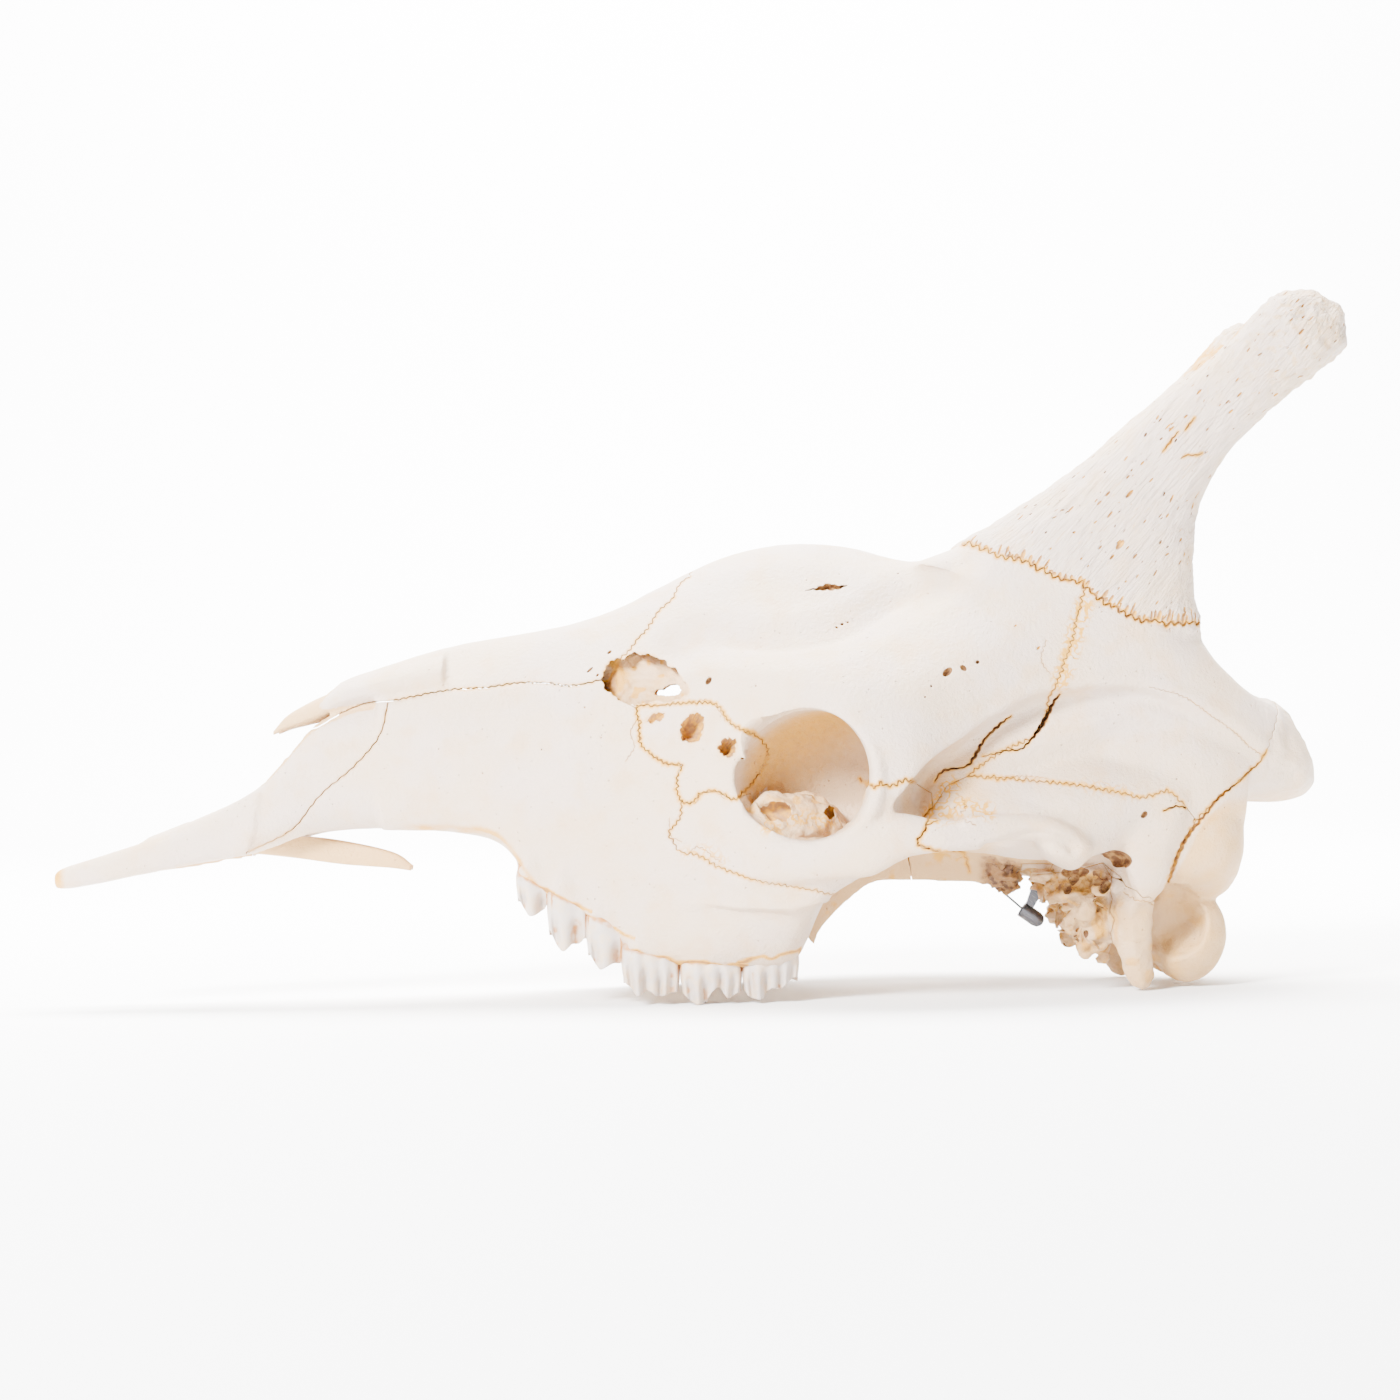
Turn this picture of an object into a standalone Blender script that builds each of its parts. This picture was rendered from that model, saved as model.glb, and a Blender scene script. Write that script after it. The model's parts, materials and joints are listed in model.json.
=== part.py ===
"""Skull of a giraffe without its lower jaw, life size, lying as it rests on a table.

It stands on the cusps of its cheek teeth and on the two processes beside the neck joint.
Every size below is in millimetres. A place is (x, w, z): x runs back from the tip of the
snout, w is the distance out from the middle plane and z is the height above the table.
The left side is the one at negative Y. The bones are modelled as one skull, which is then
parted along the sutures that a cleaned skull shows.
"""

import math

import bmesh
import bpy
import numpy as np

MM = 0.001
MIDDLE_X = 346.7            # middle of the skull's length, where the origin is
GAP = 0.3                   # air left between two bones at a suture
VOXEL = 2.7                 # grid on which the joined forms are blended
BLEND_STEPS = 5             # rounds of smoothing after the blend
KEPT_FACES = 5500           # triangles that the blended form keeps
OUTER = 150.0               # past the widest point of the skull
PAST = 0.06                 # what a cut takes past the line of a suture
LAYER = 15.0                # a block that parts two bones is built in layers about this thick

# Curves along the whole head: (x, w, z) of one line on the surface, from snout to neck.
ROOF_MIDDLE = [(178, 0, 180), (221, 0, 192), (254, 0, 197), (287, 0, 203), (309, 0, 210.6),
               (331, 0, 221), (352, 0, 231), (374, 0, 238.5), (405, 0, 242.5), (434, 0, 239.6),
               (450, 0, 235), (465, 0, 231), (500, 0, 230), (548, 0, 235), (586, 0, 230), (612, 0, 202),
               (625, 0, 178), (636, 0, 164), (649, 0, 155), (660, 0, 151.5)]
ROOF_SHOULDER = [(178, 16, 176), (221, 19, 187), (254, 22, 191.5), (287, 25, 197), (309, 27, 204),
                 (331, 28, 214), (352, 29, 224), (374, 31, 230.5), (405, 33, 233), (434, 34, 229),
                 (465, 38, 227), (482, 42, 233), (500, 46, 238), (522, 50, 242), (548, 52, 240),
                 (586, 46, 222), (612, 38, 194), (625, 31, 174), (636, 28, 161), (649, 25, 153),
                 (660, 22, 150)]
ROOF_EDGE = [(178, 30, 162), (221, 36, 168), (254, 39, 171.5), (287, 44, 174), (309, 48, 182),
             (331, 49, 194), (352, 50, 203), (374, 52, 209), (405, 55, 211), (434, 58, 208),
             (465, 64, 205), (500, 69, 208), (548, 73, 211), (586, 69, 200), (612, 58, 180),
             (628, 51, 166), (645, 45, 152), (660, 38, 144)]
BROW = [(178, 33, 148), (221, 39, 152), (254, 44, 154), (287, 51, 156), (309, 57, 160),
        (331, 64, 166), (352, 73, 171), (374, 86, 169), (405, 98, 167), (434, 105, 163),
        (458, 102, 162), (480, 94, 165), (505, 87, 169), (535, 79, 171), (570, 73, 169),
        (600, 67, 160), (625, 60, 146), (645, 53, 133), (660, 45, 126)]
CHEEK = [(178, 33, 122), (221, 41, 122), (254, 49, 118), (287, 58, 114), (309, 63, 116),
         (331, 70, 120), (352, 78, 121), (374, 90, 118), (405, 102, 116), (434, 110, 113),
         (458, 108, 112), (480, 92, 112), (505, 76, 116), (535, 66, 120), (570, 60, 120),
         (600, 58, 118), (625, 54, 116), (645, 48, 113), (660, 40, 111)]
JAW = [(178, 32, 103), (221, 38, 99), (254, 49, 86), (287, 58, 72), (309, 65, 62),
       (331, 72, 55), (352, 79, 52), (374, 86, 53), (405, 92, 59), (434, 96, 72),
       (458, 90, 82), (480, 70, 88), (505, 55, 92), (535, 50, 95), (570, 48, 96),
       (600, 46, 98), (625, 42, 100), (645, 38, 101), (660, 32, 102)]
GUM_OUTER = [(178, 25, 94), (221, 31, 92.5), (243, 38, 88), (251, 44, 79), (262, 50, 64), (287, 57, 50),
             (312, 63, 31), (337, 68, 23), (370, 71, 21.5), (399, 70, 26), (406, 67, 39),
             (413, 64, 55), (426, 60, 67), (445, 52, 75), (480, 40, 84), (505, 36, 88), (600, 32, 96),
             (660, 24, 100)]
GUM_INNER = [(178, 17, 94), (221, 22, 91), (244, 27, 84), (262, 35, 66), (287, 39, 52),
             (312, 43, 34), (337, 46, 25), (370, 47, 24), (400, 47, 28), (409, 45, 44),
             (422, 40, 64), (445, 34, 75), (480, 28, 84), (505, 24, 88), (600, 20, 96),
             (660, 16, 100)]
PALATE_MIDDLE = [(178, 0, 95), (221, 0, 94), (244, 0, 91), (262, 0, 85), (287, 0, 73),
                 (312, 0, 57), (337, 0, 48), (370, 0, 44), (396, 0, 46), (409, 0, 60),
                 (422, 0, 70), (445, 0, 76), (480, 0, 84), (505, 0, 88), (600, 0, 96),
                 (660, 0, 100)]
HEAD_LINES = [ROOF_MIDDLE, ROOF_SHOULDER, ROOF_EDGE, BROW, CHEEK, JAW, GUM_OUTER, GUM_INNER,
              PALATE_MIDDLE]

# Ovals across the middle plane: (x, half width, lowest z, highest z).
MUZZLE = [(50, 24, 73, 92), (60, 25, 74, 95.5), (89, 26, 77.5, 107.5), (111, 27, 80.5, 120),
          (122, 28, 84.5, 131), (133, 28.5, 88.5, 145), (145, 29.5, 92, 158), (161, 31, 93.5, 164),
          (185, 34, 94, 166), (205, 37, 93, 168)]
NASALS = [(124, 9, 147, 152.5), (130, 15, 148, 158), (137, 19, 149, 162.5), (146, 24, 151, 167.5),
          (160, 29, 156, 175), (178, 31.5, 159, 180.5), (200, 34, 160, 187), (215, 36, 160, 191)]
BRAINCASE = [(436, 26, 76, 150), (470, 42, 68, 165), (500, 50, 63, 185), (540, 60, 58, 188),
             (575, 67, 56, 182), (602, 67, 58, 170), (622, 63, 64, 158), (638, 55, 78, 148)]
NECK_CREST = [(612, 60, 102, 162), (630, 57, 99, 157), (645, 51, 97, 153), (660, 43, 96.5, 151.5),
              (668, 35, 97.5, 142.5), (674.5, 27, 100, 130), (679.5, 14, 105, 119)]
SKULL_BASE = [(440, 15, 68, 90), (480, 20, 61, 90), (503, 23, 59, 90), (513, 24, 66, 90),
              (524, 25, 67, 90), (533, 25, 60, 90), (545, 26, 47, 90), (560, 27, 38, 88),
              (580, 27, 27, 84), (600, 25, 19, 76)]
SKULL_REAR = [(582, 60, 54, 118), (598, 64, 46, 120), (618, 62, 45, 118), (629, 56, 48, 112),
              (634.5, 49, 55, 106), (637.5, 41, 64, 98)]
NOSE_CAVITY = [(74, 15, 90, 150), (89, 17.5, 93, 170), (111, 20, 97, 175), (140, 22, 101, 176),
               (165, 24, 102, 170), (185, 26, 102, 173), (221, 30, 101, 183), (254, 36, 95, 189),
               (287, 42, 84, 194), (309, 46, 72, 198), (331, 47, 62, 200), (352, 44, 58, 196),
               (374, 30, 58, 180), (386, 18, 60, 150)]
THROAT = [(380, 12, 57, 90), (396, 15, 52, 86), (410, 16, 20, 80), (440, 15, 20, 72),
          (500, 12, 20, 64)]
NECK_HOLE = [(572, 12, 50, 68), (606, 17, 40, 76), (655, 19, 38, 80)]

# Ovals between two edges seen from the side: (x, z of one edge, x, z of the other, w, half w).
HORN_CORE = [(464, 229, 606, 172, 41, 32), (498.6, 243.8, 617, 184.8, 42, 32),
             (522.4, 257.8, 614, 200.7, 44, 31), (546.6, 272.2, 612.5, 224.3, 48, 27),
             (569.8, 288.6, 614, 247.8, 52, 22.5), (590.2, 306.4, 620.1, 265.8, 57, 19.5),
             (606, 318.2, 631.3, 283.5, 62, 17), (621.4, 331.4, 646.5, 298.6, 67, 17),
             (635.5, 347.5, 661.2, 311.8, 71, 18.5), (646, 360.5, 678, 323.8, 74, 20),
             (652.8, 366.4, 688.8, 331.4, 75, 17.5), (663, 368.3, 691.6, 343, 75.5, 13),
             (674, 367.2, 690.6, 352.6, 76, 7)]
SNOUT_BAR = [(0.6, 73.6, 1.6, 65.4, 11, 5), (6, 77, 6.5, 65.4, 12, 6.8),
             (26.3, 82.8, 26, 68.2, 15, 7), (59.4, 93.4, 58.9, 74, 18, 6.5),
             (92.5, 106.9, 91.8, 79.6, 21, 5.5), (114.5, 118.3, 108.3, 81.5, 24, 5)]
PALATE_ROD = [(50, 84, 50, 77, 12, 5), (75, 89, 76, 79.4, 7.5, 4), (100, 93, 101, 82, 6, 3),
              (125, 91.5, 127, 79.4, 5.2, 2.5), (154, 87.6, 155, 75, 5, 2),
              (182, 80.6, 181, 72.4, 5, 1.5), (193, 73, 192.5, 70.6, 5, 1)]
NASAL_TIP = [(163, 171, 163, 162, 15, 11), (148, 166, 148.5, 153.6, 14.5, 9.5),
             (136.8, 160.8, 136.8, 150.4, 14, 7), (127.8, 155.4, 128, 148.4, 13, 4),
             (120.8, 147.8, 120.8, 145.8, 12, 1.6)]
CHEEK_ARCH = [(372, 94, 372, 62, 84, 8), (400, 88, 402, 64, 94, 8), (430, 96, 434, 68, 103, 8),
              (452, 99, 454, 76, 106, 7.5), (470, 95.5, 471, 77.5, 106, 7), (490, 96, 490, 75, 103, 7),
              (510, 97, 511, 72.5, 98, 8), (528, 97, 530, 71.5, 90, 11), (545, 97, 546, 71, 78, 15),
              (562, 98, 562, 72, 64, 17)]
JAW_JOINT = [(507, 78, 507, 71.5, 88, 12), (520, 82, 520, 69.5, 80, 21), (536, 84, 536, 68, 74, 25),
             (549, 82, 549, 69, 70, 20)]
EAR_SPUR = [(561, 105, 606, 100, 62, 12), (566, 86, 603, 84, 63, 11), (569, 75.4, 597.8, 74.8, 62, 10),
            (572.8, 59.6, 593.8, 59.1, 60, 7), (577.3, 47.5, 588.4, 47.2, 58, 4)]
NECK_PROCESS = [(566, 76, 604, 74, 48, 13), (565.9, 59.1, 594.9, 58.5, 48, 10),
                (564.4, 40.7, 590.3, 40.1, 47, 8), (565.6, 24.8, 588.9, 24.3, 45.5, 6.5),
                (569.1, 14.2, 588.1, 13.7, 44.5, 5.2), (572.6, 4.1, 586.8, 3.2, 44, 4),
                (573.4, -1, 586.2, -1.4, 44, 3.4)]
EAR_BULB = [(533, 68, 568, 66, 35, 11), (534.5, 56, 569, 52, 36, 13), (544, 42, 569, 38, 37, 12),
            (549, 31, 567, 26, 37, 9.5), (552, 22, 564, 19.5, 37, 5)]
THROAT_BLADE = [(399, 40, 409, 25, 23, 2.6), (402, 56, 413.5, 35.5, 22, 2.8),
                (417, 74, 428, 49.8, 20.5, 3), (440, 84, 447, 59.6, 19.5, 3.2),
                (470, 86, 477, 58.6, 19, 3.8), (497, 84, 500, 57, 19, 5), (513, 80, 515.5, 53, 20, 6.5),
                (519.5, 77, 519, 60, 20, 5)]
EYE_FLOOR_BULB = [(384, 100, 392, 80, 70, 12), (400, 104, 404, 80, 66, 15), (418, 101, 420, 82, 60, 11)]

# The eye socket: a ring that stands round it, and a cup given by ovals (w, x, z, half x, half z).
EYE_RIM = dict(x=401.3, z=118.6, half_x=39.0, half_z=38.6, w=98.5, slant=13.0, tube=5.6)
EYE_CUP = [(150, 401, 118.6, 35.5, 35), (99, 401.5, 118.6, 34.4, 34), (88, 405, 118.5, 38, 34.5),
           (74, 413, 118, 45, 34), (60, 419, 117, 44, 30), (49, 424, 115, 34, 23), (42, 428, 113, 17, 12)]
TEMPLE_EDGE = [(448, 104), (455, 111), (466.4, 123.3), (476.2, 130.6), (486.9, 137), (497.8, 144.4),
               (510.3, 152.3), (522.9, 157.5), (551.5, 161.8), (572.9, 162.6), (588.8, 160),
               (606.2, 152.2), (620.4, 143.9), (634.2, 137.3), (644.9, 128.7), (650, 120)]
TEMPLE_WALL = [(448, 88), (456, 70), (470, 50), (500, 51), (540, 58), (570, 63), (600, 65), (630, 61),
               (650, 56)]
TEMPLE_LOW = 52.0
CONDYLE = dict(x=607.6, w=25, z=28.6, half_x=21.6, half_w=16.5, half_z=26.4, hollow_x=592, hollow_w=44,
               hollow_z=31, hollow=17)
FACE_WINDOW = [(299.5, 170), (304, 178), (311, 183), (321, 184.5), (331, 181), (338, 175), (344.5, 166),
               (343, 161.5), (331, 159.5), (318, 158.5), (307, 161)]
FACE_HOLES = [(346.3, 145.2, 6.2, 7.8, 62), (327.2, 150.6, 4.6, 2.6, 50), (364.3, 134.4, 4.6, 5.0, 70)]
PALATE_SLOT = dict(first=58, last=150, w=8.0, half_w=7.5)

# The steel cap that hangs on a wire under the broken skull base.
CAP = dict(mouth=(520.6, 43.2), heading=math.radians(-36), w=20, wire_top=(511.0, 52.2), wire=0.6,
           wire_reach=2.6, profile=[(3.0, 0.4), (3.0, 2.9), (0.2, 3.4), (0, 4.2), (9.5, 4.2), (12, 3.5),
                                    (13.4, 1.8), (13.7, 0.4)],
           tab=[(522.6, 45.2), (526.0, 42.5), (529.6, 48.3), (528.9, 52.8), (525.8, 53.6)], tab_width=3.4)

# Cheek teeth: front and rear x, gum z at both, outer and inner w, then (x, z) of each cusp.
TEETH = {
    "premolar_2": (249.6, 268.0, 69.5, 59.5, 53, 37, [(257.8, 47.0)]),
    "premolar_3": (268.2, 287.8, 60.0, 50.0, 58, 40, [(275.0, 28.6), (283.0, 31.6)]),
    "premolar_4": (288.0, 308.4, 47.5, 37.0, 63, 43, [(294.6, 18.4), (303.0, 22.0)]),
    "molar_1": (306.0, 336.6, 29.0, 22.5, 68, 46, [(314.4, 4.8), (327.8, 4.0)]),
    "molar_2": (337.0, 369.2, 22.5, 20.0, 71, 47.5, [(345.6, -0.8), (362.2, 2.2)]),
    "molar_3": (369.6, 399.6, 22.5, 26.0, 71, 48.5, [(377.2, 0.9), (390.0, 4.2)]),
}
ROOT_DEPTH = 8.0            # how far a tooth reaches up into the jaw
# Sections of a tooth from its outer to its inner face: share of the width, how much of the
# crown's height the cusps are raised there, and length of the section.
CROWN = [(0.0, 0.32, 0.9), (0.2, 0.0, 1.0), (0.5, 0.45, 0.98), (0.8, 0.12, 0.97), (1.0, 0.4, 0.84)]

# Bones as outlines seen from the side, from the innermost w outwards.
HORN_SUTURE = [(470, 262), (484, 243), (497.5, 236.5), (506, 231.5), (514, 229.4), (526, 225.5),
               (539.8, 217.3), (549, 216), (557.9, 208.5), (571, 199.9), (581, 195.5), (591.4, 194.2),
               (601, 192.8), (611, 193.7), (626, 190)]
SNOUT_SUTURE = [(106.5, 83.5), (131, 95.2), (147.3, 113.4), (166.3, 128.9), (180, 144.6), (184.8, 162.4)]
SNOUT_RIDGE = [(184.8, 162.4), (175, 162.2), (167.4, 160.3), (160, 157.3), (153.4, 153.7), (147, 150),
               (136, 147)]
NOSE_SUTURE = [(184.8, 162.4), (218, 167.7), (237, 168.4), (255.4, 170.5), (270, 170), (281.9, 168.3),
               (299, 171)]
NOSE_ROOT = [(299, 171), (304, 180), (311.9, 183.9), (317, 190), (325.3, 199.5), (330, 207),
             (337.1, 212.9), (342, 222), (347, 226), (349, 250)]
TEAR_OUTLINE = [(331, 157), (341, 157.9), (352.9, 158.1), (360.6, 155.3), (364.6, 149), (371.3, 144.2),
                (379, 140.4), (386, 131), (378, 116), (366, 107.5), (358.5, 111.9), (350.2, 111),
                (344.4, 105.5), (339.7, 107.1), (337.8, 118.8), (340.6, 125.5), (333.3, 126.2),
                (325.6, 130.6), (319, 138), (318.7, 148.5), (317.3, 156)]
CHEEK_SUTURE = [(339.7, 107.1), (338.9, 97.9), (333.5, 90.7), (338, 81.2), (348.4, 78.3), (357.7, 72.9),
                (367, 69), (384, 64), (404, 60.5), (421, 56)]
EYE_BAR_SUTURE = [(434.3, 116), (438.8, 112.3), (441.4, 115.3), (446.5, 113.2), (454.2, 116), (461, 114)]
ARCH_SUTURE = [(470, 101), (465.8, 96.2), (463.6, 90.2), (459.4, 84.1), (469, 79.8), (489.3, 74.2),
               (493, 64)]
CROWN_SUTURE = [(552, 250), (551.7, 211.8), (548.8, 201.5), (544.3, 185.9), (538.5, 170.4), (533, 155),
                (530.3, 143.5), (524.3, 136.8), (511.8, 131), (499, 124), (489, 116.6)]
TEMPLE_SUTURE = [(489, 116.6), (522.3, 113.3), (548.4, 110.1), (569.2, 105.4), (579.6, 103.1),
                 (592.8, 106.4), (602, 99)]
NECK_SUTURE = [(664, 172), (661, 158), (653, 136), (645.9, 121.3), (633.1, 110.6), (619.7, 100.4),
               (609, 90.2), (600.8, 77.2), (595.3, 64.2), (589.6, 46)]

BONE = (0.86, 0.82, 0.77)
STAINED = (0.83, 0.72, 0.57)
DARK_STEEL = (0.10, 0.10, 0.11)


def through(knots, at):
    """Smooth curve through knots: the first column is the place, the others are values there.

    It is a cubic between knots, whose slope is the mean of the two sides and is flat where
    a value turns back, so that it never swings past its knots.
    """
    knots = np.asarray(knots, float)
    place, values = knots[:, 0], knots[:, 1:]
    secant = np.diff(values, axis=0) / np.diff(place)[:, None]
    slope = np.vstack([secant[:1], (secant[1:] + secant[:-1]) / 2, secant[-1:]])
    slope[1:-1][secant[1:] * secant[:-1] <= 0] = 0
    index = np.clip(np.searchsorted(place, at, side="right") - 1, 0, len(place) - 2)
    span = (place[index + 1] - place[index])[:, None]
    t = ((np.asarray(at) - place[index])[:, None]) / span
    low, high = values[index], values[index + 1]
    return (low * (1 + 2 * t) * (1 - t) ** 2 + high * t * t * (3 - 2 * t)
            + slope[index] * span * t * (1 - t) ** 2 + slope[index + 1] * span * t * t * (t - 1))


def rounded(points, per_span=4):
    """Closed Catmull-Rom curve through points, each span in per_span steps."""
    before, after, later = (np.roll(points, n, axis=0) for n in (1, -1, -2))
    t = (np.arange(per_span) / per_span)[None, :, None]
    p0, p1, p2, p3 = (p[:, None, :] for p in (before, points, after, later))
    curve = 0.5 * (2 * p1 + (p2 - p0) * t + (2 * p0 - 5 * p1 + 4 * p2 - p3) * t ** 2
                   + (3 * p1 - p0 - 3 * p2 + p3) * t ** 3)
    return curve.reshape(-1, points.shape[1])


def solid(name, rings, split=False):
    """Closed object from rings of points in millimetres, each joined to the next, ends capped.

    With split the faces are cut into triangles, which keeps later cuts clean.
    """
    rings = np.asarray(rings, float) * MM
    work = bmesh.new()
    loops = [[work.verts.new(point) for point in ring] for ring in rings]
    for low, high in zip(loops, loops[1:]):
        for k in range(len(low)):
            j = (k + 1) % len(low)
            work.faces.new((low[k], low[j], high[j], high[k]))
    for ring in (loops[0], loops[-1]):
        work.faces.new(ring)
    bmesh.ops.recalc_face_normals(work, faces=work.faces)
    if split:
        bmesh.ops.triangulate(work, faces=work.faces, ngon_method="EAR_CLIP")
    mesh = bpy.data.meshes.new(name)
    work.to_mesh(mesh)
    work.free()
    made = bpy.data.objects.new(name, mesh)
    bpy.context.scene.collection.objects.link(made)
    return made


def head_form(lines, step=6.0):
    """The face and roof: a ring every few millimetres, curved through the lines of the head."""
    first = max(line[0][0] for line in lines)
    last = min(line[-1][0] for line in lines)
    places = np.linspace(first, last, int((last - first) / step) + 1)
    sides = np.stack([through(line, places) for line in lines], axis=1)
    rings = []
    for x, side in zip(places, sides):
        left = side[1:-1][::-1] * (-1, 1)
        outline = rounded(np.vstack([side, left]))
        rings.append(np.column_stack([np.full(len(outline), x), outline]))
    return solid("head", rings)


def circle(count, power=2.0):
    """Points round a closed oval of half size 1: a circle at power 2, squarer above it."""
    turn = np.linspace(0, 2 * math.pi, count, endpoint=False)
    c, s = np.cos(turn), np.sin(turn)
    return np.sign(c) * np.abs(c) ** (2 / power), np.sign(s) * np.abs(s) ** (2 / power)


def middle_form(name, rows, power=2.3, count=32, step=6.0):
    """A form across the middle plane, from ovals (x, half width, lowest z, highest z)."""
    places = np.linspace(rows[0][0], rows[-1][0], max(4, int((rows[-1][0] - rows[0][0]) / step)))
    c, s = circle(count, power)
    return solid(name, [
        np.column_stack([np.full(count, x), half * c, (low + high) / 2 + (high - low) / 2 * s])
        for x, (half, low, high) in zip(places, through(rows, places))])


def side_form(name, rows, power=2.2, count=16, per_row=3, w_side=-1):
    """A form on one side, from ovals between two edges: (x, z, x, z, w, half w)."""
    knots = [(k, *row) for k, row in enumerate(rows)]
    places = np.linspace(0, len(rows) - 1, per_row * (len(rows) - 1) + 1)
    c, s = circle(count, power)
    rings = []
    for x1, z1, x2, z2, w, half in through(knots, places):
        along = np.outer(c, ((x1 - x2) / 2, 0, (z1 - z2) / 2))
        across = np.outer(s, (0, half, 0))
        rings.append(np.array(((x1 + x2) / 2, w_side * w, (z1 + z2) / 2)) + along + across)
    return solid(name, rings)


def both_sides(make, name, rows, **options):
    """The same form on the left and on the right."""
    return [make(name, rows, w_side=side, **options) for side in (-1, 1)]


def cup_form(name, rows, w_side, count=40, per_row=3):
    """A form that runs outwards, from ovals (w, x, z, half x, half z)."""
    knots = [(k, *row) for k, row in enumerate(rows)]
    places = np.linspace(0, len(rows) - 1, per_row * (len(rows) - 1) + 1)
    c, s = circle(count)
    return solid(name, [np.column_stack([x + a * c, np.full(count, w_side * w), z + b * s])
                        for w, x, z, a, b in through(knots, places)])


def eye_rim(w_side, count=40, sides=12):
    """The raised ring round the eye socket, which faces outwards and a little forwards."""
    rim = EYE_RIM
    c, s = circle(count)
    middle = np.column_stack([rim["x"] + rim["half_x"] * c,
                              w_side * (rim["w"] + rim["slant"] * c),
                              rim["z"] + rim["half_z"] * s])
    outward = np.column_stack([c, np.zeros(count), s])
    rounds = [middle + rim["tube"] * (math.cos(a) * outward + math.sin(a) * np.array((0, w_side, 0)))
              for a in np.linspace(0, 2 * math.pi, sides, endpoint=False)]
    work = bmesh.new()
    loops = [[work.verts.new(point * MM) for point in ring] for ring in rounds]
    for i, ring in enumerate(loops):
        after = loops[(i + 1) % sides]
        for k in range(count):
            j = (k + 1) % count
            work.faces.new((ring[k], ring[j], after[j], after[k]))
    bmesh.ops.recalc_face_normals(work, faces=work.faces)
    mesh = bpy.data.meshes.new("eye_rim")
    work.to_mesh(mesh)
    work.free()
    made = bpy.data.objects.new("eye_rim", mesh)
    bpy.context.scene.collection.objects.link(made)
    return made


def ball(name, centre, halves, rings=12, count=20):
    """Ellipsoid from its centre and half sizes, as ovals along x."""
    turns = np.linspace(0.04, math.pi - 0.04, rings)
    c, s = circle(count)
    return solid(name, [np.column_stack([np.full(count, centre[0] - halves[0] * math.cos(t)),
                                         centre[1] + halves[1] * math.sin(t) * c,
                                         centre[2] + halves[2] * math.sin(t) * s]) for t in turns])


def temple_hollow(w_side):
    """The space behind the eye: open below and outwards, closed by the brow above it."""
    places = np.linspace(TEMPLE_EDGE[0][0], TEMPLE_EDGE[-1][0], 34)
    roof = through(TEMPLE_EDGE, places)[:, 0]
    wall = through(TEMPLE_WALL, places)[:, 0]
    rings = []
    for x, top, w in zip(places, roof, wall):
        ring = [(w, TEMPLE_LOW), (w, top - 9), (w + 3, top - 3), (w + 9, top), (OUTER, top + 4),
                (OUTER, TEMPLE_LOW)]
        rings.append([(x, w_side * a, b) for a, b in ring])
    return solid("temple", rings)


def prism(name, outline, inner, outer, inset=0.0, slant=0.0, level_z=0.0):
    """A block with a side-view outline between two y, drawn in by inset all round.

    With a slant the inner side leans: it lies at inner where z is level_z.
    """
    points = np.asarray(outline, float)
    if inset:
        edge = np.roll(points, -1, axis=0) - points
        edge /= np.linalg.norm(edge, axis=1)[:, None]
        turned = np.sum(points[:, 0] * np.roll(points[:, 1], -1)
                        - points[:, 1] * np.roll(points[:, 0], -1))
        normal = np.column_stack([-edge[:, 1], edge[:, 0]]) * math.copysign(1, turned)
        mean = normal + np.roll(normal, 1, axis=0)
        mean /= np.maximum(np.sum(mean ** 2, axis=1), 0.8)[:, None] / 2
        points = points + inset * mean
    lean = math.copysign(1, outer - inner) * slant * (level_z - points[:, 1])
    layers = np.linspace(0, 1, max(2, int(abs(outer - inner) / LAYER) + 1))
    return solid(name, [np.column_stack([points[:, 0], (inner + lean) * (1 - t) + outer * t, points[:, 1]])
                        for t in layers], split=True)


def settle(made):
    """Replaces an object's mesh by what its modifiers give."""
    graph = bpy.context.evaluated_depsgraph_get()
    mesh = bpy.data.meshes.new_from_object(made.evaluated_get(graph))
    made.modifiers.clear()
    made.data = mesh
    return made


def combine(made, others, operation, solver="MANIFOLD"):
    """One Boolean of an object with a collection of others, which are then removed."""
    group = bpy.data.collections.new("tools")
    bpy.context.scene.collection.children.link(group)
    for other in others:
        bpy.context.scene.collection.objects.unlink(other)
        group.objects.link(other)
    step = made.modifiers.new("combine", "BOOLEAN")
    step.operation = operation
    step.operand_type = "COLLECTION"
    step.collection = group
    step.solver = solver
    settle(made)
    for other in list(group.objects):
        bpy.data.objects.remove(other)
    bpy.data.collections.remove(group)
    return made


def largest(made):
    """Keeps the closed surface with the largest volume, and drops any loose scrap."""
    work = bmesh.new()
    work.from_mesh(made.data)
    left = set(work.verts)
    parts = []
    while left:
        part, edge = set(), [left.pop()]
        while edge:
            vert = edge.pop()
            part.add(vert)
            for link in vert.link_edges:
                other = link.other_vert(vert)
                if other in left:
                    left.discard(other)
                    edge.append(other)
        faces = {face for vert in part for face in vert.link_faces}
        volume = sum(face.calc_center_median().dot(face.normal) * face.calc_area() for face in faces)
        parts.append((volume, part))
    parts.sort(key=lambda found: found[0])
    scraps = [vert for _, part in parts[:-1] for vert in part]
    bmesh.ops.delete(work, geom=scraps, context="VERTS")
    bmesh.ops.triangulate(work, faces=work.faces, ngon_method="EAR_CLIP")
    work.to_mesh(made.data)
    work.free()
    return made


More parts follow.
